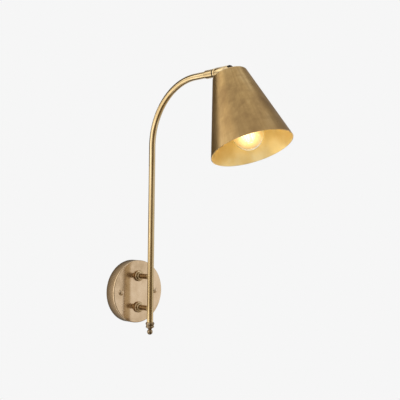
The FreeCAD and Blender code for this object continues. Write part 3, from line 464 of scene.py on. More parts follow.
# %% [markdown]
# Drawing an outline
#
# An outline is a list of (radius, height) points, run anticlockwise so that the
# faces look outwards. A third number rounds the corner. Arcs, beads and threads
# have a helper each. A supporting point is added on each side of a rounded
# corner where there is room, so that the smooth shading of the small round
# doesn't spread over the flat beside it.

# %% Outlines
BEAD_BULGE = 0.32
THREAD_ROWS = 8
SUPPORT_SHARE = 0.25
SUPPORT_ROOM = 2.6


def arc(start, middle, end, steps=8):
    """Points of a circle's arc through three points, as (radius, height) rows."""
    (ax, ay), (bx, by), (cx, cy) = start, middle, end
    d = 2 * (ax * (by - cy) + bx * (cy - ay) + cx * (ay - by))
    a2, b2, c2 = ax * ax + ay * ay, bx * bx + by * by, cx * cx + cy * cy
    ox = (a2 * (by - cy) + b2 * (cy - ay) + c2 * (ay - by)) / d
    oy = (a2 * (cx - bx) + b2 * (ax - cx) + c2 * (bx - ax)) / d
    first, mid, last = (math.atan2(y - oy, x - ox) for x, y in (start, middle, end))
    turn = (last - first) % FULL_TURN
    if (mid - first) % FULL_TURN > turn:
        turn -= FULL_TURN
    size = math.hypot(ax - ox, ay - oy)
    angles = [first + turn * step / steps for step in range(steps + 1)]
    return [(ox + size * math.cos(angle), oy + size * math.sin(angle)) for angle in angles]


def bead(radius, low, high):
    """A rounded bead between two heights."""
    crown = radius - (high - low) * BEAD_BULGE
    return arc((crown, low), (radius, (low + high) / 2), (crown, high), 12)


def threaded(radius, low, high, pitch, depth):
    """A straight threaded run: rows close enough for the wave, fading at both ends."""
    count = max(THREAD_ROWS, round(abs(high - low) / pitch * THREAD_ROWS))
    rows = []
    for step in range(count + 1):
        share = step / count
        fade = min(1.0, share * count / THREAD_ROWS, (1 - share) * count / THREAD_ROWS)
        rows.append((radius, low + (high - low) * share, 0.0, depth * fade))
    return rows


def corner_turn(before, here, after):
    """How far an outline turns at a point, positive to the left."""
    ax, ay = here[0] - before[0], here[1] - before[1]
    bx, by = after[0] - here[0], after[1] - here[1]
    return math.atan2(ax * by - ay * bx, ax * bx + ay * by)


def supported(points):
    """Adds a supporting row on each side of a rounded corner where the run has room for it."""
    rows = [points[0]]
    for before, here, after in zip(points, points[1:], points[2:]):
        size = here[2]
        reach = size * (math.tan(abs(corner_turn(before, here, after)) / 2) + SUPPORT_SHARE)
        beside = []
        for other in (before, after):
            run = math.hypot(other[0] - here[0], other[1] - here[1])
            share = reach / run if size and run > SUPPORT_ROOM * reach else 0.0
            side = (here[0] + (other[0] - here[0]) * share, here[1] + (other[1] - here[1]) * share)
            beside.append([side + (0.0,) + tuple(here[3:])] if share else [])
        rows += beside[0] + [here] + beside[1]
    return rows + [points[-1]]


print("outline helpers ready")

# %% [markdown]
# From an outline to a finished mesh
#
# The outline becomes a mesh of plain lines, and its extra numbers become
# attributes on the points. The tree runs on it as a modifier, the result is
# taken as a plain mesh, and the modifier's object is thrown away. At the end a
# mesh is named and told which body it moves with.

# %% Lines, meshes and pieces
CARRIED = ("round", "edge", "thread", "rib", "second", "path")
EDGE_TURN = math.radians(25)


def metres(*sizes):
    """Sizes in millimetres, as metres."""
    return tuple(size * MM for size in sizes)


def line_object(lines):
    """A mesh of plain lines. Each row is x, y, z and the numbers that it carries."""
    mesh = bpy.data.meshes.new("blank")
    rows = [row for line in lines for row in line]
    edges, start = [], 0
    for line in lines:
        edges += [(start + step, start + step + 1) for step in range(len(line) - 1)]
        start += len(line)
    mesh.from_pydata([row[:3] for row in rows], edges, [])
    for place, label in enumerate(CARRIED):
        values = mesh.attributes.new(label, "FLOAT", "POINT")
        values.data.foreach_set("value", [row[3 + place] for row in rows])
    return shown("blank", mesh)


def outline_rows(points, closed=False, second=None, height_unit=MM):
    """An outline's rows for line_object; second tells which points take the second material."""
    points = [tuple(point) + (0.0,) * (5 - len(point)) for point in points]
    if closed:
        first, last = points[0], points[-1]
        seam = ((first[0] + last[0]) / 2, (first[1] + last[1]) / 2, 0.0, 0.0, 0.0)
        points = [seam] + points + [seam]
    points = supported(points)
    rows = []
    for place, point in enumerate(points):
        edge = 0.0
        if 0 < place < len(points) - 1:
            turn = corner_turn(points[place - 1], point, points[place + 1])
            edge = math.copysign(1.0, turn) if abs(turn) > EDGE_TURN else 0.0
        other = 1.0 if second and second(point) else 0.0
        rows.append((point[0] * MM, 0.0, point[1] * height_unit, point[2] * MM, edge,
                     point[3] * MM, point[4] * MM, other, 0.0))
    return rows


def path_rows(points, rounds):
    """A path's rows for line_object, with the radius of each bend."""
    return [metres(*point) + (size * MM, 0.0, 0.0, 0.0, 0.0, 1.0) for point, size in zip(points, rounds)]


def run_tree(shape, tree, **values):
    """Runs a tree on an object and returns the plain mesh; thread_pitch sets Thread pitch."""
    values.setdefault("second_material", values["material"])
    modifier = shape.modifiers.new("made", "NODES")
    modifier.node_group = tree
    named = {label.replace("_", " ").capitalize(): value for label, value in values.items()}
    for item in tree.interface.items_tree:
        if item.in_out == "INPUT" and item.name in named:
            modifier[item.identifier] = named[item.name]
    bpy.context.view_layer.update()
    seen = shape.evaluated_get(bpy.context.evaluated_depsgraph_get())
    mesh = bpy.data.meshes.new_from_object(seen)
    old = shape.data
    shape.modifiers.remove(modifier)
    bpy.data.objects.remove(shape)
    bpy.data.meshes.remove(old)
    return mesh


def turned(points, material, closed=True, second=None, **values):
    """A turned piece's mesh from its outline."""
    return run_tree(line_object([outline_rows(points, closed, second)]), TURNED, material=material, **values)


def swept(path, rounds, rows, material, **values):
    """A swept piece's mesh from its path, the radius of each bend and its outline's rows."""
    return run_tree(line_object([path_rows(path, rounds), rows]), SWEPT, material=material, **values)


def drilled(mesh, radius, depth, first, step, material):
    """Drills two holes through a mesh; with no step they fall in one place."""
    return run_tree(shown("blank", mesh), DRILLED, hole_radius=radius * MM, depth=depth * MM, count=2,
                    first=metres(*first), step=metres(*step), material=material)


def piece(name, mesh, body, slot, *nodes):
    """Names a mesh as a piece of the lamp, sets its body, and hides what it stands for; slot is not used."""
    mesh.name = name
    shape = shown(name, mesh)
    check = bmesh.new()
    check.from_mesh(mesh)
    open_edges = sum(1 for edge in check.edges if len(edge.link_faces) != 2)
    volume = check.calc_volume(signed=True) / MM ** 3
    check.free()
    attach(shape, body)
    if nodes:
        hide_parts(*nodes)
    print(f"{name}: {len(mesh.polygons)} faces, {volume:.0f} mm3, {open_edges} open edges")
    return shape


ROOM = (math.radians(90), 0.0, 0.0)
ON_HEAD = {"turn": (math.radians(90 - RISE_DEG), 0.0, 0.0), "place": metres(0, pivot_y, pivot_z)}
ON_SHADE = {"turn": (math.radians(-TILT_DEG), 0.0, 0.0), "place": ON_HEAD["place"]}
print("turns: to the room, along the arm's end, down the shade's axis")

# %% [markdown]
# Old brass, part one: its tone
#
# Aged brass is never one colour. Where it was handled or lay under less wax it
# stays golden, and elsewhere it goes brown in soft clouds a few centimetres
# wide. Two noises of different size, read in Object coordinates so that they
# stay on the piece from any side, mix a dark, a middle and a light tone. Edges
# are made lighter, for worn brass and as a painted highlight, and creases are
# painted dark as painted shade. The second output is the cloud mask, which the
# materials also use for roughness, because browned brass is duller than bright
# brass.

# %% Shader group for the tone
FINE_SHARE = 0.28
# the edge colour stands for worn brass and is also a painted highlight; the crease colour is painted shade
WORN_AND_HIGHLIT = (0.84, 0.65, 0.36, 1.0)
CREASE_SHADE = (0.10, 0.06, 0.025, 1.0)


def object_place(tree):
    """The place on the piece, the same from any side."""
    return add(tree, "ShaderNodeTexCoord").outputs["Object"]


def noise(tree, place, scale, detail=2.0, roughness=0.5, distortion=0.0):
    """A soft random value at each place."""
    return add(tree, "ShaderNodeTexNoise", {
        "Vector": place, "Scale": scale, "Detail": detail, "Roughness": roughness,
        "Distortion": distortion}).outputs[0]


def blend(tree, share, first, second):
    """Two colours mixed by a share."""
    return add(tree, "ShaderNodeMix", {0: share, 6: first, 7: second}, data_type="RGBA").outputs[2]


def tone_group():
    """Three tones mixed by clouds; edges lighter for worn brass and as a painted highlight, creases darker as
    painted shade.
    """
    tree, given, result = new_group("Patina tone", "ShaderNodeTree", [
        ("Dark", "Color", (0.3, 0.2, 0.1, 1)), ("Middle", "Color", (0.5, 0.35, 0.17, 1)),
        ("Light", "Color", (0.66, 0.5, 0.27, 1)), ("Cloud size", "Float", 30.0), ("Contrast", "Float", 1.0),
        ("Squash", "Vector", (1, 1, 1)), ("Shift", "Vector", (0, 0, 0)), ("Edge wear", "Float", 0.5)],
        [("Color", "Color"), ("Cloud", "Float")])
    plus, minus, times = sums(tree)
    place = add(tree, "ShaderNodeVectorMath", {0: object_place(tree), 1: given["Squash"], 2: given["Shift"]},
                operation="MULTIPLY_ADD").outputs[0]
    clouds = noise(tree, place, given["Cloud size"], 5.0, 0.6, 0.15)
    small = noise(tree, place, times(given["Cloud size"], 4.3), 6.0, 0.62, 0.2)
    both = plus(times(clouds, 1 - FINE_SHARE), times(small, FINE_SHARE))
    wide = plus(times(minus(both, 0.5), times(given["Contrast"], 4.0)), 0.5)
    cloud = add(tree, "ShaderNodeClamp", {0: wide}).outputs[0]
    double = times(cloud, 2.0)
    low = blend(tree, maths(tree, "MINIMUM", double, 1.0), given["Dark"], given["Middle"])
    high = blend(tree, maths(tree, "MAXIMUM", minus(double, 1.0), 0.0), low, given["Light"])
    edge = add(tree, "ShaderNodeAttribute", attribute_name="edge").outputs["Fac"]
    # edges lighter: worn brass, and a painted highlight on rims
    worn_and_highlit = times(maths(tree, "MAXIMUM", edge, 0.0), times(given["Edge wear"], plus(small, 0.35)))
    # creases darker: painted shade
    crease_shade = times(maths(tree, "MAXIMUM", times(edge, -1.0), 0.0), given["Edge wear"])
    tree.links.new(blend(tree, crease_shade, blend(tree, worn_and_highlit, high, WORN_AND_HIGHLIT), CREASE_SHADE), result["Color"])
    tree.links.new(cloud, result["Cloud"])
    return tree


TONE = tone_group()
print("tone group:", len(TONE.nodes), "nodes")

# %% [markdown]
# Old brass, part two: its marks
#
# Brass shows how it was worked. The plate, the beads and the shade carry fine
# rings from the lathe and the polishing mop, and the tube carries long fine
# lines. Rings follow the second texture coordinate, which runs along the
# outline, so one noise that changes fast along it and hardly at all around it
# gives them. A little of a second noise adds handling marks. The group gives a
# height for a Bump node and a value that moves the roughness.

# %% Shader group for the marks
DENT_SCALE = 240.0


def chart_parts(tree):
    """The two texture coordinates: once round the piece, and along its outline."""
    return parts(tree, add(tree, "ShaderNodeUVMap", uv_map="UVMap").outputs[0])


def marks_group():
    """Rings or long lines, plus small handling marks."""
    tree, given, result = new_group("Working marks", "ShaderNodeTree", [
        ("Around", "Float", 3.0), ("Along", "Float", 900.0), ("Dents", "Float", 0.3),
        ("Detail", "Float", 3.0)], [("Height", "Float"), ("Line", "Float")])
    plus, _, times = sums(tree)
    chart = chart_parts(tree)
    # the first coordinate is bent into a circle, so that the marks close round the piece
    angle = times(chart[0], FULL_TURN)
    x, y = (times(maths(tree, wave, angle), given["Around"]) for wave in ("COSINE", "SINE"))
    lines = noise(tree, joined(tree, x, y, times(chart[1], given["Along"])), 1.0, given["Detail"], 0.7)
    dents = noise(tree, object_place(tree), DENT_SCALE, 3.0)
    tree.links.new(plus(lines, times(dents, given["Dents"])), result["Height"])
    tree.links.new(lines, result["Line"])
    return tree


MARKS = marks_group()
print("marks group:", len(MARKS.nodes), "nodes")

# %% [markdown]
# The metals
#
# Each brass gets its own tones and its own marks, but the recipe is one
# function. Three things are laid over the tone. Streaks are bands of the dark
# tone, drawn by the same group that draws the marks; they stand for brushing
# lines and are partly painted reflections. The tone also gets darker towards
# the outline's start, which on the shade is its mouth. The marks also move the
# roughness a little, so that the gloss changes across them. Plain values such
# as the metallic share stay on the shader's own sockets, so that an export
# reads them. The coat stands for the thin lacquer that such lamps have.

# %% Recipe for the metals
STREAK_FROM, STREAK_FULL = 0.5, 0.72
MARK_HEIGHT = 0.0005
LACQUER_ROUGHNESS = 0.25


def shader(name):
    """A new material, its tree and its Principled node's inputs."""
    material = bpy.data.materials.new(name)
    material.use_nodes = True
    return material, material.node_tree, material.node_tree.nodes["Principled BSDF"].inputs


def rgba(colour):
    """A colour with full cover."""
    return (*colour, 1.0)


def spread(tree, value, low, high):
    """Maps a 0 to 1 value onto a range."""
    return add(tree, "ShaderNodeMapRange", {0: value, 3: low, 4: high}).outputs[0]


def soft_step(tree, value, start, end, low=0.0, high=1.0):
    """Goes softly from low to high while a value goes from start to end."""
    return add(tree, "ShaderNodeMapRange", {0: value, 1: start, 2: end, 3: low, 4: high},
               interpolation_type="SMOOTHSTEP").outputs[0]


def streaked(tree, colour, streaks, dark):
    """Faint streaks of a darker tone, partly brushing lines and partly painted reflections: each row says
    around, along and how strong.
    """
    for around, along, strength in streaks:
        lines = add(tree, "ShaderNodeGroup", {
            "Around": around, "Along": along, "Dents": 0.0, "Detail": 1.0}, node_tree=MARKS).outputs["Line"]
        share = soft_step(tree, lines, STREAK_FROM, STREAK_FULL, 0.0, strength)
        # painted reflections: streaks of the dark tone laid over the colour
        colour = blend(tree, share, colour, rgba(dark))
    return colour


def browned(tree, colour, reach, strength, dark):
    """Browner towards the outline's start; reach is in decimetres."""
    share = soft_step(tree, chart_parts(tree)[1], 0.0, reach, strength, 0.0)
    return blend(tree, share, colour, rgba(dark))


def brass(name, tones, rough, cloud=30.0, contrast=1.0, squash=(1, 1, 1), shift=(0, 0, 0), wear=0.5,
          around=3.0, along=900.0, dents=0.3, bump=0.02, coat=0.12, metallic=1.0, streaks=(),
          mouth=(1.0, 0.0), gloss=0.12):
    """Aged brass: clouds of tone, working marks, edges lighter for worn brass and as a painted highlight,
    creases as painted shade.
    """
    material, tree, skin = shader(name)
    plus, minus, times = sums(tree)
    dark, middle, light = (rgba(tone) for tone in tones)
    tone = add(tree, "ShaderNodeGroup", node_tree=TONE)
    for label, value in (("Dark", dark), ("Middle", middle), ("Light", light), ("Cloud size", cloud),
                         ("Contrast", contrast), ("Squash", squash), ("Shift", shift), ("Edge wear", wear)):
        tone.inputs[label].default_value = value
    marks = add(tree, "ShaderNodeGroup", {"Around": around, "Along": along, "Dents": dents},
                node_tree=MARKS).outputs
    colour = browned(tree, tone.outputs["Color"], *mouth, tones[0])
    dull = spread(tree, tone.outputs["Cloud"], rough[1], rough[0])
    relief = add(tree, "ShaderNodeBump", {
        "Strength": bump, "Distance": MARK_HEIGHT, "Height": marks["Height"]}).outputs[0]
    tree.links.new(streaked(tree, colour, streaks, tones[0]), skin["Base Color"])
    tree.links.new(plus(dull, times(minus(marks["Line"], 0.5), gloss)), skin["Roughness"])
    tree.links.new(relief, skin["Normal"])
    skin["Metallic"].default_value = metallic
    skin["Coat Weight"].default_value = coat
    skin["Coat Roughness"].default_value = LACQUER_ROUGHNESS
    return material


print("recipe for the metals ready")

# %% [markdown]
# Seven brasses
#
# All come from the same lamp, but not from the same hand. The plate is the
# palest. The turned posts and the finial are darker copies of the turned brass,
# a painted shade, the finial darkest, and their creases take the most painted
# shade. The tube was drawn, so its marks run lengthways. The shade is the
# brownest, with streaks that are partly painted reflections and a browner
# mouth, and its inside is painted lighter and more golden, as painted light
# from the bulb.

# %% The brasses
plate_brass = brass(
    "aged_plate", ((0.50, 0.355, 0.21), (0.665, 0.49, 0.315), (0.745, 0.57, 0.385)), (0.13, 0.19),
    cloud=22.0, contrast=0.8, wear=0.12, around=6.0, along=700.0, bump=0.006)
# painted shade: the posts and the stem take a darker copy of the turned brass
shaded_post_brass = brass(
    "shaded_turning", ((0.21, 0.145, 0.08), (0.42, 0.30, 0.17), (0.60, 0.46, 0.29)), (0.15, 0.27),
    cloud=60.0, wear=0.7, around=4.0)
arm_brass = brass(
    "aged_tube", ((0.46, 0.325, 0.155), (0.60, 0.445, 0.235), (0.70, 0.545, 0.32)), (0.14, 0.21),
    cloud=26.0, contrast=0.7, squash=(1, 1, 0.35), around=60.0, along=4.0, coat=0.06)
# painted shade: the finial takes the darkest copy of the turned brass
shaded_finial_brass = brass(
    "shaded_finial", ((0.11, 0.075, 0.04), (0.27, 0.195, 0.115), (0.46, 0.36, 0.24)), (0.15, 0.27),
    cloud=60.0, wear=0.8, around=4.0)
shade_brass = brass(
    "aged_shade", ((0.295, 0.182, 0.074), (0.445, 0.287, 0.115), (0.54, 0.378, 0.17)), (0.27, 0.36),
    cloud=24.0, contrast=0.9, squash=(1, 1, 0.6), shift=(0.13, 0.4, 0.27), along=90.0, dents=0.0,
    bump=0.015, coat=0.07, mouth=(0.6, 0.4), gloss=0.05,
    streaks=((6.0, 0.8, 0.35), (19.0, 1.6, 0.3), (1.2, 9.0, 0.35)))
# painted light: the inside's tones are lighter and more golden than the outside's, as if lit by the bulb
bulb_lit_inner = brass(
    "bulb_lit_inside", ((0.72, 0.51, 0.185), (0.82, 0.615, 0.255), (0.88, 0.71, 0.37)), (0.28, 0.36),
    cloud=16.0, contrast=0.8, wear=0.6, along=60.0, dents=0.0, bump=0.004, coat=0.05, metallic=0.7, gloss=0.0)
screw_brass = brass(
    "aged_screw", ((0.52, 0.39, 0.24), (0.72, 0.56, 0.38), (0.84, 0.69, 0.49)), (0.22, 0.32),
    cloud=150.0, wear=0.7, around=2.0, along=600.0)
brasses = (plate_brass, shaded_post_brass, arm_brass, shaded_finial_brass, shade_brass, bulb_lit_inner, screw_brass)
print("brasses:", [material.name for material in brasses])

# %% [markdown]
# Plated steel, moulded parts and flex
#
# The parts behind the plate and inside the lampholder are zinc-plated steel,
# bright contact brass, nickel, nylon and black phenolic. They are plain, but a
# real moulding or plating still has a faint grain and uneven gloss. One recipe
# takes a base colour, a second colour that the noise brings in, and a grain.

# %% Other materials
GRAIN_HEIGHT = 0.0002
GRAIN_FINENESS = 12


def plain(name, colour, other, rough, metallic=0.0, size=180.0, bump=0.08, coat=0.0):
    """A fine-grained plating or moulding."""
    material, tree, skin = shader(name)
    place = object_place(tree)
    cloud = noise(tree, place, size, 5.0, 0.6, 0.3)
    grain = noise(tree, place, size * GRAIN_FINENESS)
    relief = add(tree, "ShaderNodeBump", {
        "Strength": bump, "Distance": GRAIN_HEIGHT, "Height": grain}).outputs[0]
    tree.links.new(blend(tree, spread(tree, cloud, -0.4, 1.4), rgba(colour), rgba(other)), skin["Base Color"])
    tree.links.new(spread(tree, cloud, *rough), skin["Roughness"])
    tree.links.new(relief, skin["Normal"])
    skin["Metallic"].default_value = metallic
    skin["Coat Weight"].default_value = coat
    return material


zinc = plain("zinc_plating", (0.50, 0.51, 0.50), (0.36, 0.37, 0.37), (0.24, 0.42), 1.0, 90.0)
contact = plain("bright_contact", (0.80, 0.62, 0.30), (0.66, 0.48, 0.20), (0.18, 0.32), 1.0, 200.0)
nickel = plain("nickel_plating", (0.66, 0.64, 0.60), (0.54, 0.52, 0.48), (0.16, 0.30), 1.0, 160.0)
black_nylon = plain("black_washer_nylon", (0.007, 0.006, 0.005), (0.018, 0.016, 0.013), (0.36, 0.52),
                    size=240.0, bump=0.12)
black_nylon.node_tree.nodes["Principled BSDF"].inputs["Specular IOR Level"].default_value = 0.22
phenolic = plain("black_phenolic", (0.022, 0.019, 0.017), (0.040, 0.034, 0.030), (0.14, 0.26),
                 size=120.0, bump=0.05, coat=0.3)
white_nylon = plain("white_nylon", (0.80, 0.79, 0.74), (0.70, 0.68, 0.62), (0.34, 0.5), size=160.0, bump=0.1)
insert_white = plain("white_insert", (0.74, 0.72, 0.67), (0.62, 0.60, 0.55), (0.4, 0.55),
                     size=200.0, bump=0.1)
flex_black = plain("black_flex", (0.030, 0.027, 0.024), (0.052, 0.047, 0.041), (0.42, 0.56),
                   size=260.0, bump=0.15)
lead_brown = plain("lead_brown", (0.145, 0.055, 0.022), (0.185, 0.075, 0.032), (0.34, 0.46),
                   size=260.0, bump=0.12)
lead_blue = plain("lead_blue", (0.02, 0.085, 0.33), (0.03, 0.11, 0.40), (0.34, 0.46), size=260.0, bump=0.12)
black_glass = plain("black_glass", (0.006, 0.006, 0.007), (0.014, 0.014, 0.015), (0.08, 0.16),
                    size=200.0, bump=0.02)
print("materials so far:", len(bpy.data.materials))

# %% [markdown]
# Glass and light
#
# The bulb is clear, and its filaments glow. Seen from the room, the glass that
# faces us looks filled with light, and its sides stay clear with a faint bright
# rim. Both are painted on the glass with emission, though the glass is no lamp:
# a painted glow, white where the glass faces the eye and golden further out,
# and a painted highlight at the rim, with none between. Light passes the glass
# because the piece casts no shadow, which is what thin clear glass does in
# practice.

# %% Glass and filament materials
GLASS_CENTRE_BELOW = 104.0
RIM_FROM, RIM_STRENGTH = 0.86, 0.5
GOLD_FOCUS, WHITE_FOCUS = 3.0, 7.0
HOT_TO, WARM_FROM = 0.009, 0.0125
tilt = math.radians(TILT_DEG)
SHADE_AXIS = Vector((0.0, -math.sin(tilt), -math.cos(tilt)))
bulb_centre = Vector(ON_SHADE["place"]) + SHADE_AXIS * GLASS_CENTRE_BELOW * MM


def glass_material(name, white_glow, gold_glow):
    """Clear glass with a painted glow before the filaments and a painted highlight at its rim."""
    material, tree, skin = shader(name)
    plus, minus = sums(tree)[:2]
    # painted glow: emission strongest where the glass faces the eye
    slope = add(tree, "ShaderNodeLayerWeight", {"Blend": 0.5}).outputs["Facing"]
    facing = minus(1.0, slope)
    # painted highlight: brighter emission where the glass turns away, at its rim
    rim = soft_step(tree, slope, RIM_FROM, 1.0, 0.0, RIM_STRENGTH)
    gold = plus(maths(tree, "POWER", facing, GOLD_FOCUS), rim)
    warm = blend(tree, gold, (0.0, 0.0, 0.0, 1.0), rgba(gold_glow))
    painted_glow = blend(tree, maths(tree, "POWER", facing, WHITE_FOCUS), warm, rgba(white_glow))
    faint = noise(tree, object_place(tree), 60.0)
    tree.links.new(spread(tree, faint, 0.02, 0.05), skin["Roughness"])
    tree.links.new(painted_glow, skin["Emission Color"])
    for label, value in (("Base Color", (1.0, 0.95, 0.84, 1.0)), ("IOR", 1.5), ("Transmission Weight", 1.0),
                         ("Emission Strength", 1.0)):
        skin[label].default_value = value
    return material


def glowing(name):
    """The filaments' coating, hottest in the middle of their length."""
    material, tree, skin = shader(name)
    place = object_place(tree)
    offset = vector(tree, "SUBTRACT", place, tuple(bulb_centre))
    down = add(tree, "ShaderNodeVectorMath", {0: offset, 1: tuple(SHADE_AXIS)},
               operation="DOT_PRODUCT").outputs["Value"]
    end = soft_step(tree, maths(tree, "ABSOLUTE", down), HOT_TO, WARM_FROM)
    hot = blend(tree, end, (1.0, 0.80, 0.46, 1.0), (1.0, 0.55, 0.18, 1.0))
    tree.links.new(hot, skin["Emission Color"])
    powder = blend(tree, noise(tree, place, 900.0), (0.14, 0.09, 0.02, 1.0), (0.10, 0.06, 0.012, 1.0))
    tree.links.new(powder, skin["Base Color"])
    skin["Roughness"].default_value = 0.6
    skin["Emission Strength"].default_value = 1.6
    return material


glass_with_painted_glow = glass_material("glass_with_painted_glow", (0.29, 0.26, 0.17), (0.10, 0.072, 0.018))
filament_glow = glowing("glowing_filament")
print("bulb centre in metres:", [round(v, 4) for v in bulb_centre])

# %% [markdown]
# The wall plate
#
# The plate is a shallow cup, drawn from sheet and softened at its edge. It
# could be a cylinder with a bevel, but turning it keeps the wall's thickness
# and the open back, which is seen from behind. The post and screw holes are
# then drilled through it.

# %% Wall plate
PLATE_RADIUS, PLATE_WALL = 50.0, 1.2
POST_HOLE, SCREW_HOLE, DRILL_LENGTH = 4.05, 2.15, 60.0
inside, depth = PLATE_RADIUS - PLATE_WALL, PLATE_DEPTH - PLATE_WALL
plate_outline = [
    (0, depth), (40, depth), (inside, depth, 0.7), (inside, 0, 0.2), (PLATE_RADIUS, 0, 0.2),
    (PLATE_RADIUS, PLATE_DEPTH, 1.4), (42, PLATE_DEPTH), (0, PLATE_DEPTH)]
plate_mesh = turned(plate_outline, plate_brass, closed=False, sides=160, corner_steps=6, turn=ROOM)
plate_mesh = drilled(plate_mesh, POST_HOLE, DRILL_LENGTH, (0, 0, -POST_SPACING / 2), (0, 0, POST_SPACING),
                     plate_brass)
plate_mesh = drilled(plate_mesh, SCREW_HOLE, DRILL_LENGTH, (-COVER_SCREW_X, 0, 0), (2 * COVER_SCREW_X, 0, 0),
                     plate_brass)
piece("wall_plate", plate_mesh, "wall_part", "plate_brass", "backplate")

# %% [markdown]
# The two screws in the plate's face
#
# Low round heads with upright slots hold the plate to its bracket. One screw is
# turned, its slot is cut, and the tree sets the two copies.

# %% Cover screws
SCREW_RADIUS, SCREW_LENGTH, SCREW_PITCH, SCREW_THREAD = 2.0, 7.0, 0.7, 0.3
HEAD_RADIUS, HEAD_HEIGHT = 4.7, 2.4
SLOT_WIDTH, SLOT_LENGTH = 1.1, 11.0
screw_points = [(0, -SCREW_LENGTH), (SCREW_RADIUS - SCREW_THREAD, -SCREW_LENGTH, 0.3)]
screw_points += threaded(SCREW_RADIUS, 0.4 - SCREW_LENGTH, -0.3, SCREW_PITCH, SCREW_THREAD)
screw_points += [(SCREW_RADIUS, 0), (HEAD_RADIUS, 0, 0.15)]
screw_points += arc((HEAD_RADIUS, 0.6), (2.6, 1.95), (0, HEAD_HEIGHT), 10)
screw_mesh = run_tree(
    line_object([outline_rows(screw_points)]), SLOTTED, material=screw_brass, sides=64, corner_steps=3,
    turn=ROOM, thread_pitch=SCREW_PITCH * MM, slot_size=metres(SLOT_WIDTH, SLOT_LENGTH, HEAD_HEIGHT),
    slot_place=metres(0, 0, HEAD_HEIGHT), count=2, first=metres(-COVER_SCREW_X, -PLATE_DEPTH, 0),
    step=metres(2 * COVER_SCREW_X, 0, 0))
piece("cover_screw_pair", screw_mesh, "wall_part", "screw_brass", "cover_screws")

# %% [markdown]
# The turned posts
#
# Each post is one turning: a threaded tail inside the plate, a broad bead and a
# smaller one against the plate's face, and a plain shaft. Its end is hollowed
# to sit on the round tube. The upper post is drilled through for the flex.

# %% Posts
POST_RADIUS, POST_BORE, GROOVE_RADIUS = 4.25, 2.5, 5.8
TAIL_RADIUS, TAIL_LENGTH, TAIL_TIP = 4.0, 8.5, 3.6
post_length = ARM_OUT - PLATE_DEPTH


def post_outline(bored):
    """A post's outline, from the tail to the saddle."""
    core, core_round = (POST_BORE, 0.2) if bored else (0, 0)
    tail = [(core, -TAIL_LENGTH, core_round), (TAIL_TIP, -TAIL_LENGTH, 0.2)]
    tail += threaded(TAIL_RADIUS, 0.4 - TAIL_LENGTH, -0.2, 1.0, 0.45)
    beads = bead(8.75, 0, 3.8) + [(GROOVE_RADIUS, 3.8), (GROOVE_RADIUS, 4.4)] + bead(6.75, 4.4, 7.2)
    shaft = [(POST_RADIUS, height) for height in (7.2, 10.0, 24.0, post_length)]
    return tail + beads + shaft + [(radius, post_length) for radius in (3.4, 2.9, core)]


for label, side, bored in (("upper", 1, True), ("lower", -1, False)):
    post_mesh = turned(
        post_outline(bored), shaded_post_brass, closed=bored, sides=72, turn=ROOM,
        place=metres(0, -PLATE_DEPTH, side * POST_SPACING / 2), saddle_radius=ARM_RADIUS * MM,
        saddle_height=post_length * MM)
    piece(label + "_post", post_mesh, "wall_part", "turned_brass", "post_" + label)

# %% [markdown]
# The bent tube
#
# The path goes up from the finial, turns through a bend of 100 millimetres and
# runs out to the ferrule, rising a little. The outline goes up the outside and
# down the inside, so the tube has a real wall. The hole where the flex comes in
# is drilled last. It lies hidden under the upper post.

# %% Arm
ARM_WALL, ARM_BEND_STEPS = 1.0, 96
end_y, end_z = bend_end_y - ARM_RUN * math.cos(rise), bend_end_z + ARM_RUN * math.sin(rise)
corner_z = bend_end_z + (ARM_OUT + bend_end_y) * math.tan(rise)
arm_path = [(0, -ARM_OUT, -ARM_TAIL), (0, -ARM_OUT, corner_z), (0, end_y, end_z)]
straight = BEND_START + ARM_TAIL
swing = BEND_RADIUS * math.radians(90 - RISE_DEG)
whole = straight + swing + ARM_RUN
stations = [0, 40, 62, 80, 140, 200, 250, straight]
stations += [straight + swing * step / ARM_BEND_STEPS for step in range(1, ARM_BEND_STEPS + 1)] + [whole]
arm_outline = [(ARM_RADIUS, run / whole) for run in stations]
arm_outline += [(ARM_RADIUS - ARM_WALL, run / whole) for run in reversed(stations)]
arm_mesh = swept(arm_path, (0, BEND_RADIUS, 0), outline_rows(arm_outline, True, height_unit=1.0), arm_brass,
                 sides=72, bend_steps=ARM_BEND_STEPS)
arm_mesh = drilled(arm_mesh, POST_BORE, 6, (0, ARM_RADIUS - ARM_OUT, POST_SPACING / 2), (0, 0, 0), arm_brass)
piece("bent_tube", arm_mesh, "wall_part", "arm_brass", "arm_tube")

# %% [markdown]
# The finial
#
# Under the tube hangs the classic ending: two beads, a waist and a ball, turned
# in one piece with the spigot that fits the tube.

# %% Finial
BALL_RADIUS, NECK_RADIUS, NECK_AT = 4.5, 2.5, -11.7
SMALL_BEAD, SMALL_BEAD_LOW, SMALL_BEAD_HIGH = 6.65, -9.1, -5.5
ball_centre = NECK_AT - math.sqrt(BALL_RADIUS ** 2 - NECK_RADIUS ** 2)
lower_bead = bead(SMALL_BEAD, SMALL_BEAD_LOW, SMALL_BEAD_HIGH)
shoulder = lower_bead[0][0]
waist_height = SMALL_BEAD_LOW - NECK_AT
waist_middle = ((NECK_RADIUS + shoulder) / 2 - waist_height / 4, (NECK_AT + SMALL_BEAD_LOW) / 2)
finial_points = arc((0, ball_centre - BALL_RADIUS), (BALL_RADIUS, ball_centre), (NECK_RADIUS, NECK_AT), 20)
finial_points += arc((NECK_RADIUS, NECK_AT), waist_middle, (shoulder, SMALL_BEAD_LOW), 6)[1:] + lower_bead[1:]
finial_points += [(6.2, SMALL_BEAD_HIGH), (6.2, -5.0)] + bead(7.0, -5.0, 0)
spigot = ARM_RADIUS - ARM_WALL - FIT
finial_points += [(spigot, 0), (spigot, 9.0, 0.4), (0, 9.0)]
finial_mesh = turned(finial_points, shaded_finial_brass, closed=False, sides=72,
                     place=metres(0, -ARM_OUT, -ARM_TAIL))
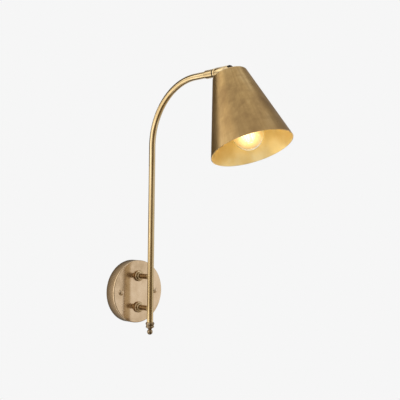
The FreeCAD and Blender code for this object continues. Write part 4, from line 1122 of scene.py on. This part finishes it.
piece("finial_turning", finial_mesh, "wall_part", "turned_brass", "finial")

# %% [markdown]
# Ferrule, washer and collar
#
# The ferrule is soldered on the tube's end. The collar turns in it on a hollow
# threaded nipple, with a dark friction washer between them, and it carries the
# knuckle. All three are turned about the arm's end axis.

# %% Ferrule, washer and collar
FERRULE_BACK, FERRULE_FRONT = -45.8, -29.5
WASHER_BACK, WASHER_FRONT = -29.35, -27.75
COLLAR_BACK, COLLAR_FRONT = -27.6, -24.0
BARREL_BACK = -22.8
NIPPLE_RADIUS, NIPPLE_BORE, NIPPLE_BACK, NIPPLE_PITCH = 3.5, 2.2, FERRULE_FRONT - 7.45, 0.75
hole, tube_hole = NIPPLE_RADIUS + 0.08, ARM_RADIUS + FIT
ferrule = [
    (tube_hole, FERRULE_BACK), (5.7, FERRULE_BACK, 0.25), (5.7, FERRULE_BACK + 1.4),
    (6.35, FERRULE_BACK + 1.4, 0.35), (6.35, FERRULE_FRONT, 0.35), (hole, FERRULE_FRONT, 0.15),
    (hole, FERRULE_FRONT - 3.4), (tube_hole, FERRULE_FRONT - 3.4)]
washer = [(hole, WASHER_BACK), (6.1, WASHER_BACK, 0.2), (6.1, WASHER_FRONT, 0.2), (hole, WASHER_FRONT)]
collar = [(NIPPLE_BORE, NIPPLE_BACK, 0.15)]
collar += threaded(NIPPLE_RADIUS, NIPPLE_BACK, COLLAR_BACK - 0.5, NIPPLE_PITCH, 0.35)
collar += [
    (NIPPLE_RADIUS, COLLAR_BACK), (6.7, COLLAR_BACK, 1.2), (6.7, COLLAR_FRONT, 1.2), (5.7, COLLAR_FRONT),
    (5.7, BARREL_BACK), (NIPPLE_RADIUS, BARREL_BACK)]
collar += threaded(NIPPLE_RADIUS, BARREL_BACK + 0.2, BARREL_BACK + 2.9, NIPPLE_PITCH, 0.3)
collar += [(NIPPLE_RADIUS, BARREL_BACK + 3.0), (NIPPLE_BORE, BARREL_BACK + 3.0)]
for name, points, body, slot, material, node in (
        ("ferrule_turning", ferrule, "wall_part", "turned_brass", arm_brass, "arm_ferrule"),
        ("friction_washer", washer, "wall_part", "black_nylon", black_nylon, "swivel_washer"),
        ("swivel_collar", collar, "swivel_head", "turned_brass", arm_brass, "swivel_nipple")):
    piece(name, turned(points, material, thread_pitch=NIPPLE_PITCH * MM, **ON_HEAD), body, slot, node)

# %% [markdown]
# The knuckle
#
# The barrel and its nylon block are milled rather than turned, with a slot for
# the tongue, a hood above and rounded ears. The solid model has their exact
# shape, so a copy of it is taken, its loose triangles are merged into clean
# faces, and a small bevel breaks the edges. Making them again by hand would
# only risk the fit of the hinge.

# %% Knuckle, stem and pin
FLAT_FOLD, EASED_FOLD = math.radians(0.6), math.radians(32)


def eased(name, node, body, slot, material, width):
    """A copy of a solid with its edges broken by a small bevel."""
    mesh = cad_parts[node].data.copy()
    mesh.materials.clear()
    mesh.materials.append(material)
    work = bmesh.new()
    work.from_mesh(mesh)
    bmesh.ops.remove_doubles(work, verts=work.verts, dist=WELD)
    bmesh.ops.dissolve_limit(work, angle_limit=FLAT_FOLD, verts=work.verts, edges=work.edges)
    for face in work.faces:
        face.material_index = 0
    work.to_mesh(mesh)
    work.free()
    shape = piece(name, mesh, body, slot, node)
    bevel = shape.modifiers.new("eased", "BEVEL")
    bevel.width = width * MM
    bevel.segments = 2
    bevel.limit_method = "ANGLE"
    bevel.angle_limit = EASED_FOLD
    bevel.harden_normals = True
    mesh.shade_smooth()


eased("knuckle_body", "knuckle_barrel", "swivel_head", "turned_brass", arm_brass, 0.22)
eased("nylon_hinge", "hinge_block", "swivel_head", "black_nylon", black_nylon, 0.18)
eased("hanger_stem", "shade_stem", "shade_head", "turned_brass", shaded_post_brass, 0.15)
eased("tilt_pin", "pivot_screw", "swivel_head", "screw_brass", screw_brass, 0.12)

# %% [markdown]
# The shade
#
# A disc of brass was spun over a wooden form: flat on top, a small round at the
# shoulder, then a straight cone with a plain cut edge. Outside it is brown with
# age, and inside it is painted lighter and more golden, as painted light from
# the bulb. The outline runs up the outside and down the inside, and its inner
# half takes the second material.

# %% Shade
MOUTH_RADIUS, MOUTH_AT = 60.0, -125.6
TOP_RADIUS, TOP_AT = 25.5, -7.6
SHADE_WALL, STEM_HOLE = 0.9, 5.05
SIDE_SPLIT = 0.6
flare = (MOUTH_RADIUS - TOP_RADIUS) / (TOP_AT - MOUTH_AT)
level_wall = SHADE_WALL / math.cos(math.atan(flare))


def is_inner(point):
    """Whether an outline point lies on the shade's inside."""
    below = TOP_AT - point[1]
    return below > SHADE_WALL / 2 and point[0] < TOP_RADIUS + below * flare - SIDE_SPLIT


ceiling_at, ceiling_radius = TOP_AT - SHADE_WALL, TOP_RADIUS + SHADE_WALL * flare - level_wall
shade_points = [
    (MOUTH_RADIUS, MOUTH_AT, 0.3), (TOP_RADIUS, TOP_AT, 2.2), (STEM_HOLE, TOP_AT, 0.1),
    (STEM_HOLE, ceiling_at), (ceiling_radius, ceiling_at, 1.3), (MOUTH_RADIUS - level_wall, MOUTH_AT, 0.3)]
shade_mesh = turned(shade_points, shade_brass, second=is_inner, second_material=bulb_lit_inner, sides=192,
                    corner_steps=6, **ON_SHADE)
piece("spun_shade", shade_mesh, "shade_head", "shade_brass", "shade")

# %% [markdown]
# The lampholder
#
# Black phenolic, in two parts that screw together: a domed cap on the stem, and
# a skirt with a ribbed grip ring. Both are turned, and the ribs are the wave
# that the turned tree can add.

# %% Lampholder
HOLDER_RADIUS, HOLDER_WALL = 13.8, 2.0
CAP_TOP, CAP_SHOULDER, CAP_JOINT = -13.1, -20.1, -28.6
GRIP_RADIUS, GRIP_LOW, RIB_DEPTH = 14.4, -31.0, 0.35
SKIRT_LOW, SKIRT_STEP, SKIRT_HIGH = -73.6, -43.1, -25.6
bore, ceiling = HOLDER_RADIUS - HOLDER_WALL, CAP_TOP - HOLDER_WALL
cap_points = [(STEM_HOLE, ceiling)] + arc((7, ceiling), (9.9, -17.6), (bore, CAP_SHOULDER - 1.0), 8)
cap_points += [(bore, CAP_JOINT), (HOLDER_RADIUS, CAP_JOINT, 0.3)]
cap_points += arc((HOLDER_RADIUS, CAP_SHOULDER), (11.9, -15.6), (8, CAP_TOP), 10) + [(STEM_HOLE, CAP_TOP)]
skirt_points = [(bore, SKIRT_LOW, 0.3), (HOLDER_RADIUS, GRIP_LOW)]
skirt_points += [(GRIP_RADIUS, height, 0.15, 0.0, RIB_DEPTH) for height in (GRIP_LOW, CAP_JOINT)]
skirt_points += [
    (bore - FIT, CAP_JOINT), (bore - FIT, SKIRT_HIGH), (11.35, SKIRT_HIGH), (11.35, SKIRT_STEP),
    (10.35, SKIRT_STEP), (10.35, SKIRT_LOW + 2.0), (10.8, SKIRT_LOW)]
cap_mesh = turned(cap_points, phenolic, **ON_SHADE)
piece("holder_cap", cap_mesh, "shade_head", "holder_phenolic", "lampholder_cap")
skirt_mesh = turned(skirt_points, phenolic, sides=144, ribs=48, **ON_SHADE)
piece("holder_skirt", skirt_mesh, "shade_head", "holder_phenolic", "lampholder_skirt")

# %% [markdown]
# The bulb
#
# A small clear globe: a glass envelope 0.8 millimetres thick, with a neck, a
# throat curve and a ball, in a nickel screw cap whose rounded thread climbs
# 2.8 millimetres a turn. The throat's round touches the ball's, so one angle
# says where both end. Four glowing filaments stand round the glass mount.

# %% Bulb
GLOBE_RADIUS, GLASS_NECK, THROAT_RADIUS, GLASS_WALL = 22.5, 9.0, 10.0, 0.8
GLASS_END, CAP_RADIUS, CAP_PITCH = -75.3, 6.95, 2.82


def on_circle(centre, radius, angle):
    """A point of a circle, at an angle from the outward direction."""
    return (centre[0] + radius * math.cos(angle), centre[1] + radius * math.sin(angle))


def glass_outline(inset, side):
    """The glass from its neck to its tip, some way in; side is a point on the ball's flank."""
    reach = GLASS_NECK + THROAT_RADIUS
    climb = math.sqrt((GLOBE_RADIUS + THROAT_RADIUS) ** 2 - reach ** 2)
    lean = math.atan2(climb, reach)
    throat = [on_circle((reach, climb - GLASS_CENTRE_BELOW), THROAT_RADIUS + inset, math.pi + turn)
              for turn in (0.0, lean / 2, lean)]
    tip = (0.0, inset - GLASS_CENTRE_BELOW - GLOBE_RADIUS)
    return arc(*throat, 10) + arc(throat[-1], side, tip, 48)[1:]


glass_points = glass_outline(0.0, (22.26, -107.3))[::-1] + [(7.85, GLASS_END, 0.2), (7.05, GLASS_END, 0.2)]
glass_points += glass_outline(GLASS_WALL, (21.47, -107.1))
glass_mesh = turned(glass_points, glass_with_painted_glow, closed=False, sides=96, **ON_SHADE)
piece("bulb_envelope", glass_mesh, "shade_head", "bulb_clear_glass", "bulb_glass").visible_shadow = False

bulb_cap = [(8.2, GLASS_END), (CAP_RADIUS, -72.3)] + threaded(CAP_RADIUS, -56.0, -71.5, CAP_PITCH, 0.7)[::-1]
bulb_cap += [(CAP_RADIUS, -55.45), (4.8, -53.3), (4.5, -53.45), (6.0, -56.2), (6.0, -71.0), (6.65, -72.3)]
bulb_cap += [(7.9, GLASS_END)]
bulb_cap_mesh = turned(bulb_cap, nickel, thread_pitch=CAP_PITCH * MM, **ON_SHADE)
piece("bulb_screw_cap", bulb_cap_mesh, "shade_head", "bulb_nickel", "bulb_cap")

# %% [markdown]
# The filaments
#
# Each filament is a thin wire with a thicker glowing coat on its straight run.
# One is swept along its path, and the tree sets four round the glass mount.

# %% Filaments
WIRE_RADIUS, COAT_RADIUS, COAT_TAPER = 0.35, 0.8, 0.012
filament_path = [(1.1, 0, -89.65), (7.0, 0, -91.5), (4.0, 0, -116.5), (0, 0, -117.2)]
runs = [math.dist(a, b) for a, b in zip(filament_path, filament_path[1:])]
low_end, high_end = runs[0] / sum(runs), (runs[0] + runs[1]) / sum(runs)
rod = [(0, 0), (WIRE_RADIUS, 0), (WIRE_RADIUS, low_end - COAT_TAPER), (WIRE_RADIUS, low_end),
       (COAT_RADIUS, low_end + COAT_TAPER), (COAT_RADIUS, high_end - COAT_TAPER), (WIRE_RADIUS, high_end),
       (WIRE_RADIUS, high_end + COAT_TAPER), (WIRE_RADIUS, 1.0), (0, 1.0)]
rod_rows = outline_rows(rod, second=lambda point: low_end - 0.001 < point[1] < high_end + 0.001,
                        height_unit=1.0)
filament_mesh = run_tree(
    line_object([path_rows(filament_path, (0, 0.5, 0.5, 0)), rod_rows]), RING, material=nickel,
    second_material=filament_glow, sides=16, bend_steps=4, count=4, **ON_SHADE)
piece("filament_ring", filament_mesh, "shade_head", "bulb_filament", "bulb_filaments")

# %% [markdown]
# The leads behind the plate
#
# Three leads fan out of the flex's end. Brown and blue go into the connector,
# and green and yellow goes to the ring under the earth screw. Each follows the
# same straight runs and bends as the solid lead that it stands for.

# %% Leads
LEAD_RADIUS, LEAD_SPREAD, LEAD_ROWS = 0.75, 0.99, 40


def striped(name):
    """The earth lead's sheath: yellow on green, in a slow twist."""
    material, tree, skin = shader(name)
    plus, minus, times = sums(tree)
    chart = chart_parts(tree)
    twist = maths(tree, "FRACT", plus(chart[0], times(chart[1], 0.1)))
    stripe = maths(tree, "LESS_THAN", maths(tree, "ABSOLUTE", minus(twist, 0.5)), 0.16)
    grain = noise(tree, object_place(tree), 900.0, 3.0)
    tree.links.new(blend(tree, stripe, (0.035, 0.24, 0.055, 1), (0.76, 0.6, 0.04, 1)), skin["Base Color"])
    tree.links.new(spread(tree, grain, 0.3, 0.5), skin["Roughness"])
    return material


def bend_radii(route):
    """The radius of each bend, which takes up 0.45 of the shorter run beside it."""
    radii = [0.0]
    for before, here, after in zip(route, route[1:], route[2:]):
        reach = min((here - before).length, (after - here).length) * 0.45
        radii.append(reach / math.tan((here - before).angle(after - here) / 2))
    return radii + [0.0]


sheath_points = [(0, 0)] + [(LEAD_RADIUS, step / LEAD_ROWS) for step in range(LEAD_ROWS + 1)] + [(0, 1)]
lead_ends = [(10.0, -5.7, 7.0, lead_brown, "lead_brown"), (16.0, -5.7, 7.0, lead_blue, "lead_blue"),
             (-13.0, -3.0, 9.6, striped("lead_earth"), "lead_earth")]
for place, (x, y, z, sheath, label) in enumerate(lead_ends):
    angle = math.radians(120 * place - 90)
    start_x, start_z = on_circle((0.0, POST_SPACING / 2), LEAD_SPREAD, angle)
    route = [Vector((start_x, -8.4, start_z)), Vector((start_x, -3.4, start_z)),
             Vector((x, y, z + 5.0)), Vector((x, y, z - 4.0))]
    lead_rows = outline_rows(sheath_points, height_unit=1.0)
    lead_mesh = swept(route, bend_radii(route), lead_rows, sheath, sides=20, bend_steps=12)
    piece("inner_" + label, lead_mesh, "wall_part", "lead_sheath", "inner_leads")

# %% [markdown]
# Parts whose solid is already right
#
# Nuts, washers, the folded strap, the connector and the contacts keep the
# solid's own mesh. They only get their finish, through the material slots.

# %% Finishes for the kept solids
finishes = {
    zinc: ("wall_bracket", "earth_screw", "post_washers", "post_nuts", "swivel_nut", "stem_washer",
           "stem_locknut"),
    white_nylon: ("terminal_block",),
    contact: ("terminal_screws", "socket_shell", "centre_contact"),
    nickel: ("earth_terminal", "bulb_contact"),
    screw_brass: ("pivot_nut",),
    insert_white: ("lampholder_insert",),
    flex_black: ("arm_flex", "knuckle_flex", "holder_leads"),
    black_glass: ("bulb_insulator",),
    glass_with_painted_glow: ("bulb_mount",),
}
for material, names in finishes.items():
    for name in names:
        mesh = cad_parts[name].data
        mesh.materials.clear()
        mesh.materials.append(material)
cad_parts["bulb_mount"].visible_shadow = False
print("kept solids:", sum(len(names) for names in finishes.values()))

# %% [markdown]
# Floor and room
#
# The lamp is shown as in a catalogue: nothing but a pale even ground. The floor
# is far below. Close to the lamp it is a real matt floor that takes its shadow,
# and further out it fades to the same pale grey as the room, so no horizon
# shows. The room's colour is what the camera, reflections and glass see, and a
# dimmer light falls on matt surfaces.

# %% Floor and room
PALE = (0.922, 0.922, 0.922, 1.0)
DIM = (0.55, 0.55, 0.55, 1.0)
FLOOR_Z, FLOOR_HALF = -0.60, 30.0
FADE_FROM, FADE_TO = 0.75, 1.35


def distance_out(tree):
    """How far a point is from the origin."""
    return add(tree, "ShaderNodeVectorMath", {0: object_place(tree)}, operation="LENGTH").outputs["Value"]


def seen_ray(tree):
    """1 for rays from the camera, from a reflection or through glass."""
    rays = add(tree, "ShaderNodeLightPath").outputs
    both = maths(tree, "MAXIMUM", rays["Is Camera Ray"], rays["Is Glossy Ray"])
    return maths(tree, "MAXIMUM", both, rays["Is Transmission Ray"])


def floor_material():
    """Matt near the lamp, the room's own grey further out."""
    material, tree, skin = shader("pale_floor")
    far = soft_step(tree, distance_out(tree), FADE_FROM, FADE_TO)
    grain = noise(tree, object_place(tree), 40.0, 4.0)
    tree.links.new(blend(tree, grain, (0.80, 0.80, 0.80, 1), (0.84, 0.84, 0.84, 1)), skin["Base Color"])
    skin["Roughness"].default_value = 0.8
    skin["Specular IOR Level"].default_value = 0.1
    matt = tree.nodes["Principled BSDF"].outputs[0]
    glow = add(tree, "ShaderNodeEmission", {"Color": PALE}).outputs[0]
    mixed = add(tree, "ShaderNodeMixShader", {0: far, 1: matt, 2: glow}).outputs[0]
    tree.links.new(mixed, tree.nodes["Material Output"].inputs["Surface"])
    return material


floor_mesh = bpy.data.meshes.new("floor")
corners = [(x * FLOOR_HALF, y * FLOOR_HALF, FLOOR_Z) for x, y in ((-1, -1), (1, -1), (1, 1), (-1, 1))]
floor_mesh.from_pydata(corners, [], [(0, 1, 2, 3)])
floor_mesh.materials.append(floor_material())
shown("floor", floor_mesh)

world = bpy.data.worlds.new("pale_room")
bpy.context.scene.world = world
world.use_nodes = True
room = world.node_tree
ground = room.nodes["Background"].inputs
room.links.new(blend(room, seen_ray(room), DIM, PALE), ground["Color"])
ground["Strength"].default_value = 1.0
print("floor at", FLOOR_Z, "room grey", PALE[0])

# %% [markdown]
# Cards and lamps
#
# Polished metal shows its surroundings, so a photographer shapes it with cards
# as much as with lamps: dark cards draw the dark lines that make a tube look
# round, and a soft box draws the bright line beside them. The cards here are
# seen by reflections only. Most stand in a wide ring about the lamp. Two small
# ones stand close to the tube, in front and behind, two hang near the bend, and
# flat sheets lie below. Angles are measured from the lamp, anticlockwise from
# +X, with the camera at about 230 degrees.

# %% Cards
LAMP_MIDDLE, BEND_MIDDLE, TUBE_MIDDLE = (0.0, -0.12), (0.0, -0.10), (0.0, -ARM_OUT * MM)
BELOW = -0.45


def glow_material(name, colour, fade=None):
    """A card's own brightness; fade is two distances from the origin and a share at each."""
    material, tree = shader(name)[:2]
    light = add(tree, "ShaderNodeEmission", {"Color": rgba(colour)})
    if fade:
        start, end, low, high = fade
        share = add(tree, "ShaderNodeMapRange", {0: distance_out(tree), 1: start, 2: end, 3: low, 4: high})
        tree.links.new(share.outputs[0], light.inputs["Strength"])
    tree.links.new(light.outputs[0], tree.nodes["Material Output"].inputs["Surface"])
    return material


def reflector(name, rows, colour, fade=None):
    """A sheet between two rows of points, seen by reflections only."""
    count = len(rows[0])
    faces = [(step, step + 1, count + step + 1, count + step) for step in range(count - 1)]
    mesh = bpy.data.meshes.new(name)
    mesh.from_pydata([point for row in rows for point in row], [], faces)
    mesh.materials.append(glow_material(name, colour, fade))
    shape = shown(name, mesh)
    for ray in ("camera", "diffuse", "transmission", "volume_scatter", "shadow"):
        setattr(shape, "visible_" + ray, False)


def bow(angles, radius, height, centre=LAMP_MIDDLE, steps=12):
    """Points of a level arc; angles in degrees."""
    turns = [math.radians(angles[0] + (angles[1] - angles[0]) * step / steps) for step in range(steps + 1)]
    return [(*on_circle(centre, radius, turn), height) for turn in turns]


def card(name, angles, heights, colour, distance=2.0, centre=LAMP_MIDDLE):
    """A curved upright card between two angles and two heights."""
    reflector(name, [bow(angles, distance, height, centre) for height in heights], colour)


card("card_dark_back", (49, 121), (-0.30, 0.50), (0.04, 0.034, 0.028))
card("card_dark_edge", (49, 109), (0.50, 1.45), (0.10, 0.085, 0.066))
card("card_dark_high", (76, 112), (1.42, 2.6), (0.14, 0.12, 0.10))
card("card_box_back", (109, 152), (0.58, 1.30), (1.9, 1.87, 1.78))
card("card_box_high", (113, 158), (1.32, 2.5), (1.45, 1.42, 1.35))
card("card_box_low", (105, 152), (-0.55, 0.0), (1.75, 1.72, 1.65), 0.9)
card("card_dark_low", (55, 103), (-0.55, -0.12), (0.05, 0.043, 0.036), 0.6)
card("card_box_left", (150, 183), (-0.08, 1.1), (2.0, 1.97, 1.9))
card("card_box_plate", (150, 183), (-0.5, -0.08), (1.25, 1.22, 1.16))
card("card_dim_side", (180, 226), (-0.5, -0.03), (0.36, 0.30, 0.22))
card("card_box_inside", (142, 170), (-0.45, -0.17), (1.6, 1.57, 1.5), 1.2)
card("card_dim_right", (2, 48), (-0.3, 1.3), (0.42, 0.37, 0.31))
card("card_dim_high", (-22, 30), (1.25, 3.1), (0.40, 0.36, 0.30))
card("card_dark_front", (229, 265), (-0.9, -0.25), (0.05, 0.04, 0.03))
card("card_dim_front", (229, 265), (-0.25, 0.66), (0.42, 0.37, 0.30))
card("card_dark_tube", (221, 262), (-0.08, 0.245), (0.150, 0.110, 0.055), 0.07, TUBE_MIDDLE)
card("card_tube_back", (20, 150), (-0.046, 0.20), (0.50, 0.42, 0.29), 0.0062, TUBE_MIDDLE)
card("card_grey_right", (265, 298), (-0.12, 0.66), (0.62, 0.60, 0.57))
card("card_dark_right", (265, 298), (-1.1, -0.12), (0.16, 0.13, 0.09))
card("card_dark_bend", (84, 131), (0.345, 0.56), (0.08, 0.068, 0.05), 0.22, BEND_MIDDLE)
light_rows = [[(-0.06, y, z) for y in (-0.088, -0.055)] for z in (0.245, 0.305)]
reflector("card_light_bend", light_rows, (1.8, 1.76, 1.66))
for name, angles, reach, colour in (("card_dark_below", (208, 440), (0.03, 0.36), (0.22, 0.175, 0.115)),
                                    ("card_dark_under", (208, 285), (0.36, 1.0), (0.20, 0.16, 0.105)),
                                    ("card_dark_ahead", (229, 285), (1.0, 1.6), (0.20, 0.16, 0.105)),
                                    ("card_dim_under", (285, 372), (0.36, 1.0), (0.52, 0.44, 0.33)),
                                    ("card_dark_away", (372, 440), (0.36, 0.95), (0.20, 0.16, 0.105))):
    reflector(name, [bow(angles, radius, BELOW) for radius in reach], colour)

# %% [markdown]
# The wall's glow and the lamps
#
# No wall is shown, but the side of the plate would see one. A flat ring just
# behind the plate stands for it: dark beside the plate, a painted shadow of the
# plate on the wall, and lighter further out.
# Three soft lamps light the lamp from the left, the right and above. Polished
# metal doesn't show them, because the cards do that work. A small warm light
# sits in the bulb and moves with the shade.

# %% Wall ring and lamps
RING_IN, RING_OUT, RING_BEHIND, RING_SIDES = 0.050, 0.068, 0.003, 64
BULB_POWER, BULB_COLOUR, BULB_SOFTNESS = 0.105, (1.0, 0.83, 0.50), 0.012
ring_turns = [FULL_TURN * step / RING_SIDES for step in range(RING_SIDES + 1)]
ring_rows = [[(radius * math.cos(turn), RING_BEHIND, radius * math.sin(turn)) for turn in ring_turns]
             for radius in (RING_IN, RING_OUT)]
# painted shadow: the ring is darkest beside the plate, as the wall's shade there
reflector("card_wall_shadow", ring_rows, (1.0, 0.90, 0.74), (RING_IN, RING_OUT, 0.05, 0.66))


def soft_lamp(name, place, aim, size, power):
    """A square area lamp that looks at a point."""
    light = bpy.data.lights.new(name, "AREA")
    light.shape, light.size, light.energy = "SQUARE", size, power
    lamp = shown(name, light)
    lamp.visible_glossy = False
    look = (Vector(aim) - Vector(place)).to_track_quat("-Z", "Y").to_matrix().to_4x4()
    lamp.matrix_world = Matrix.Translation(place) @ look


middle = (0.0, -0.15, 0.15)
soft_lamp("lamp_left", (-1.9, -0.3, 0.9), middle, 1.2, 14.0)
soft_lamp("lamp_right", (1.3, -1.7, 0.6), middle, 1.4, 10.0)
soft_lamp("lamp_top", (-0.1, -0.4, 2.1), middle, 1.6, 16.0)

bulb_glow = bpy.data.lights.new("bulb_light", "POINT")
bulb_glow.energy, bulb_glow.color, bulb_glow.shadow_soft_size = BULB_POWER, BULB_COLOUR, BULB_SOFTNESS
bulb_lamp = shown("bulb_light", bulb_glow)
bulb_lamp.location = bulb_centre
bulb_lamp.visible_camera = bulb_lamp.visible_transmission = False
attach(bulb_lamp, "shade_head")
print("lamps:", [light.name for light in bpy.data.lights])

# %% [markdown]
# The camera
#
# The camera stands a little left of the lamp and looks slightly up, as in the
# photograph. Its place and its three directions were found by fitting the
# plate's oval, the tube and the shade's rim.

# %% Camera and view settings
FOCAL_PIXELS, PICTURE_PIXELS, SENSOR = 807.9, 400, 36.0
EYE = (-0.8408, -1.0203, 0.1208)
RIGHT = Vector((0.7156, -0.6985, 0.0117))
UP = Vector((-0.0231, -0.0069, 0.9997))
AHEAD = Vector((0.6982, 0.7156, 0.0211))
camera_data = bpy.data.cameras.new("camera")
camera_data.sensor_width = SENSOR
camera_data.lens = FOCAL_PIXELS / PICTURE_PIXELS * SENSOR
camera_data.clip_start, camera_data.clip_end = 0.01, 50.0
camera = shown("camera", camera_data)
camera.matrix_world = Matrix.Translation(EYE) @ Matrix((RIGHT, UP, -AHEAD)).transposed().to_4x4()
bpy.context.scene.camera = camera
bpy.context.scene.view_settings.view_transform = "Standard"
print("camera lens", round(camera_data.lens, 2))
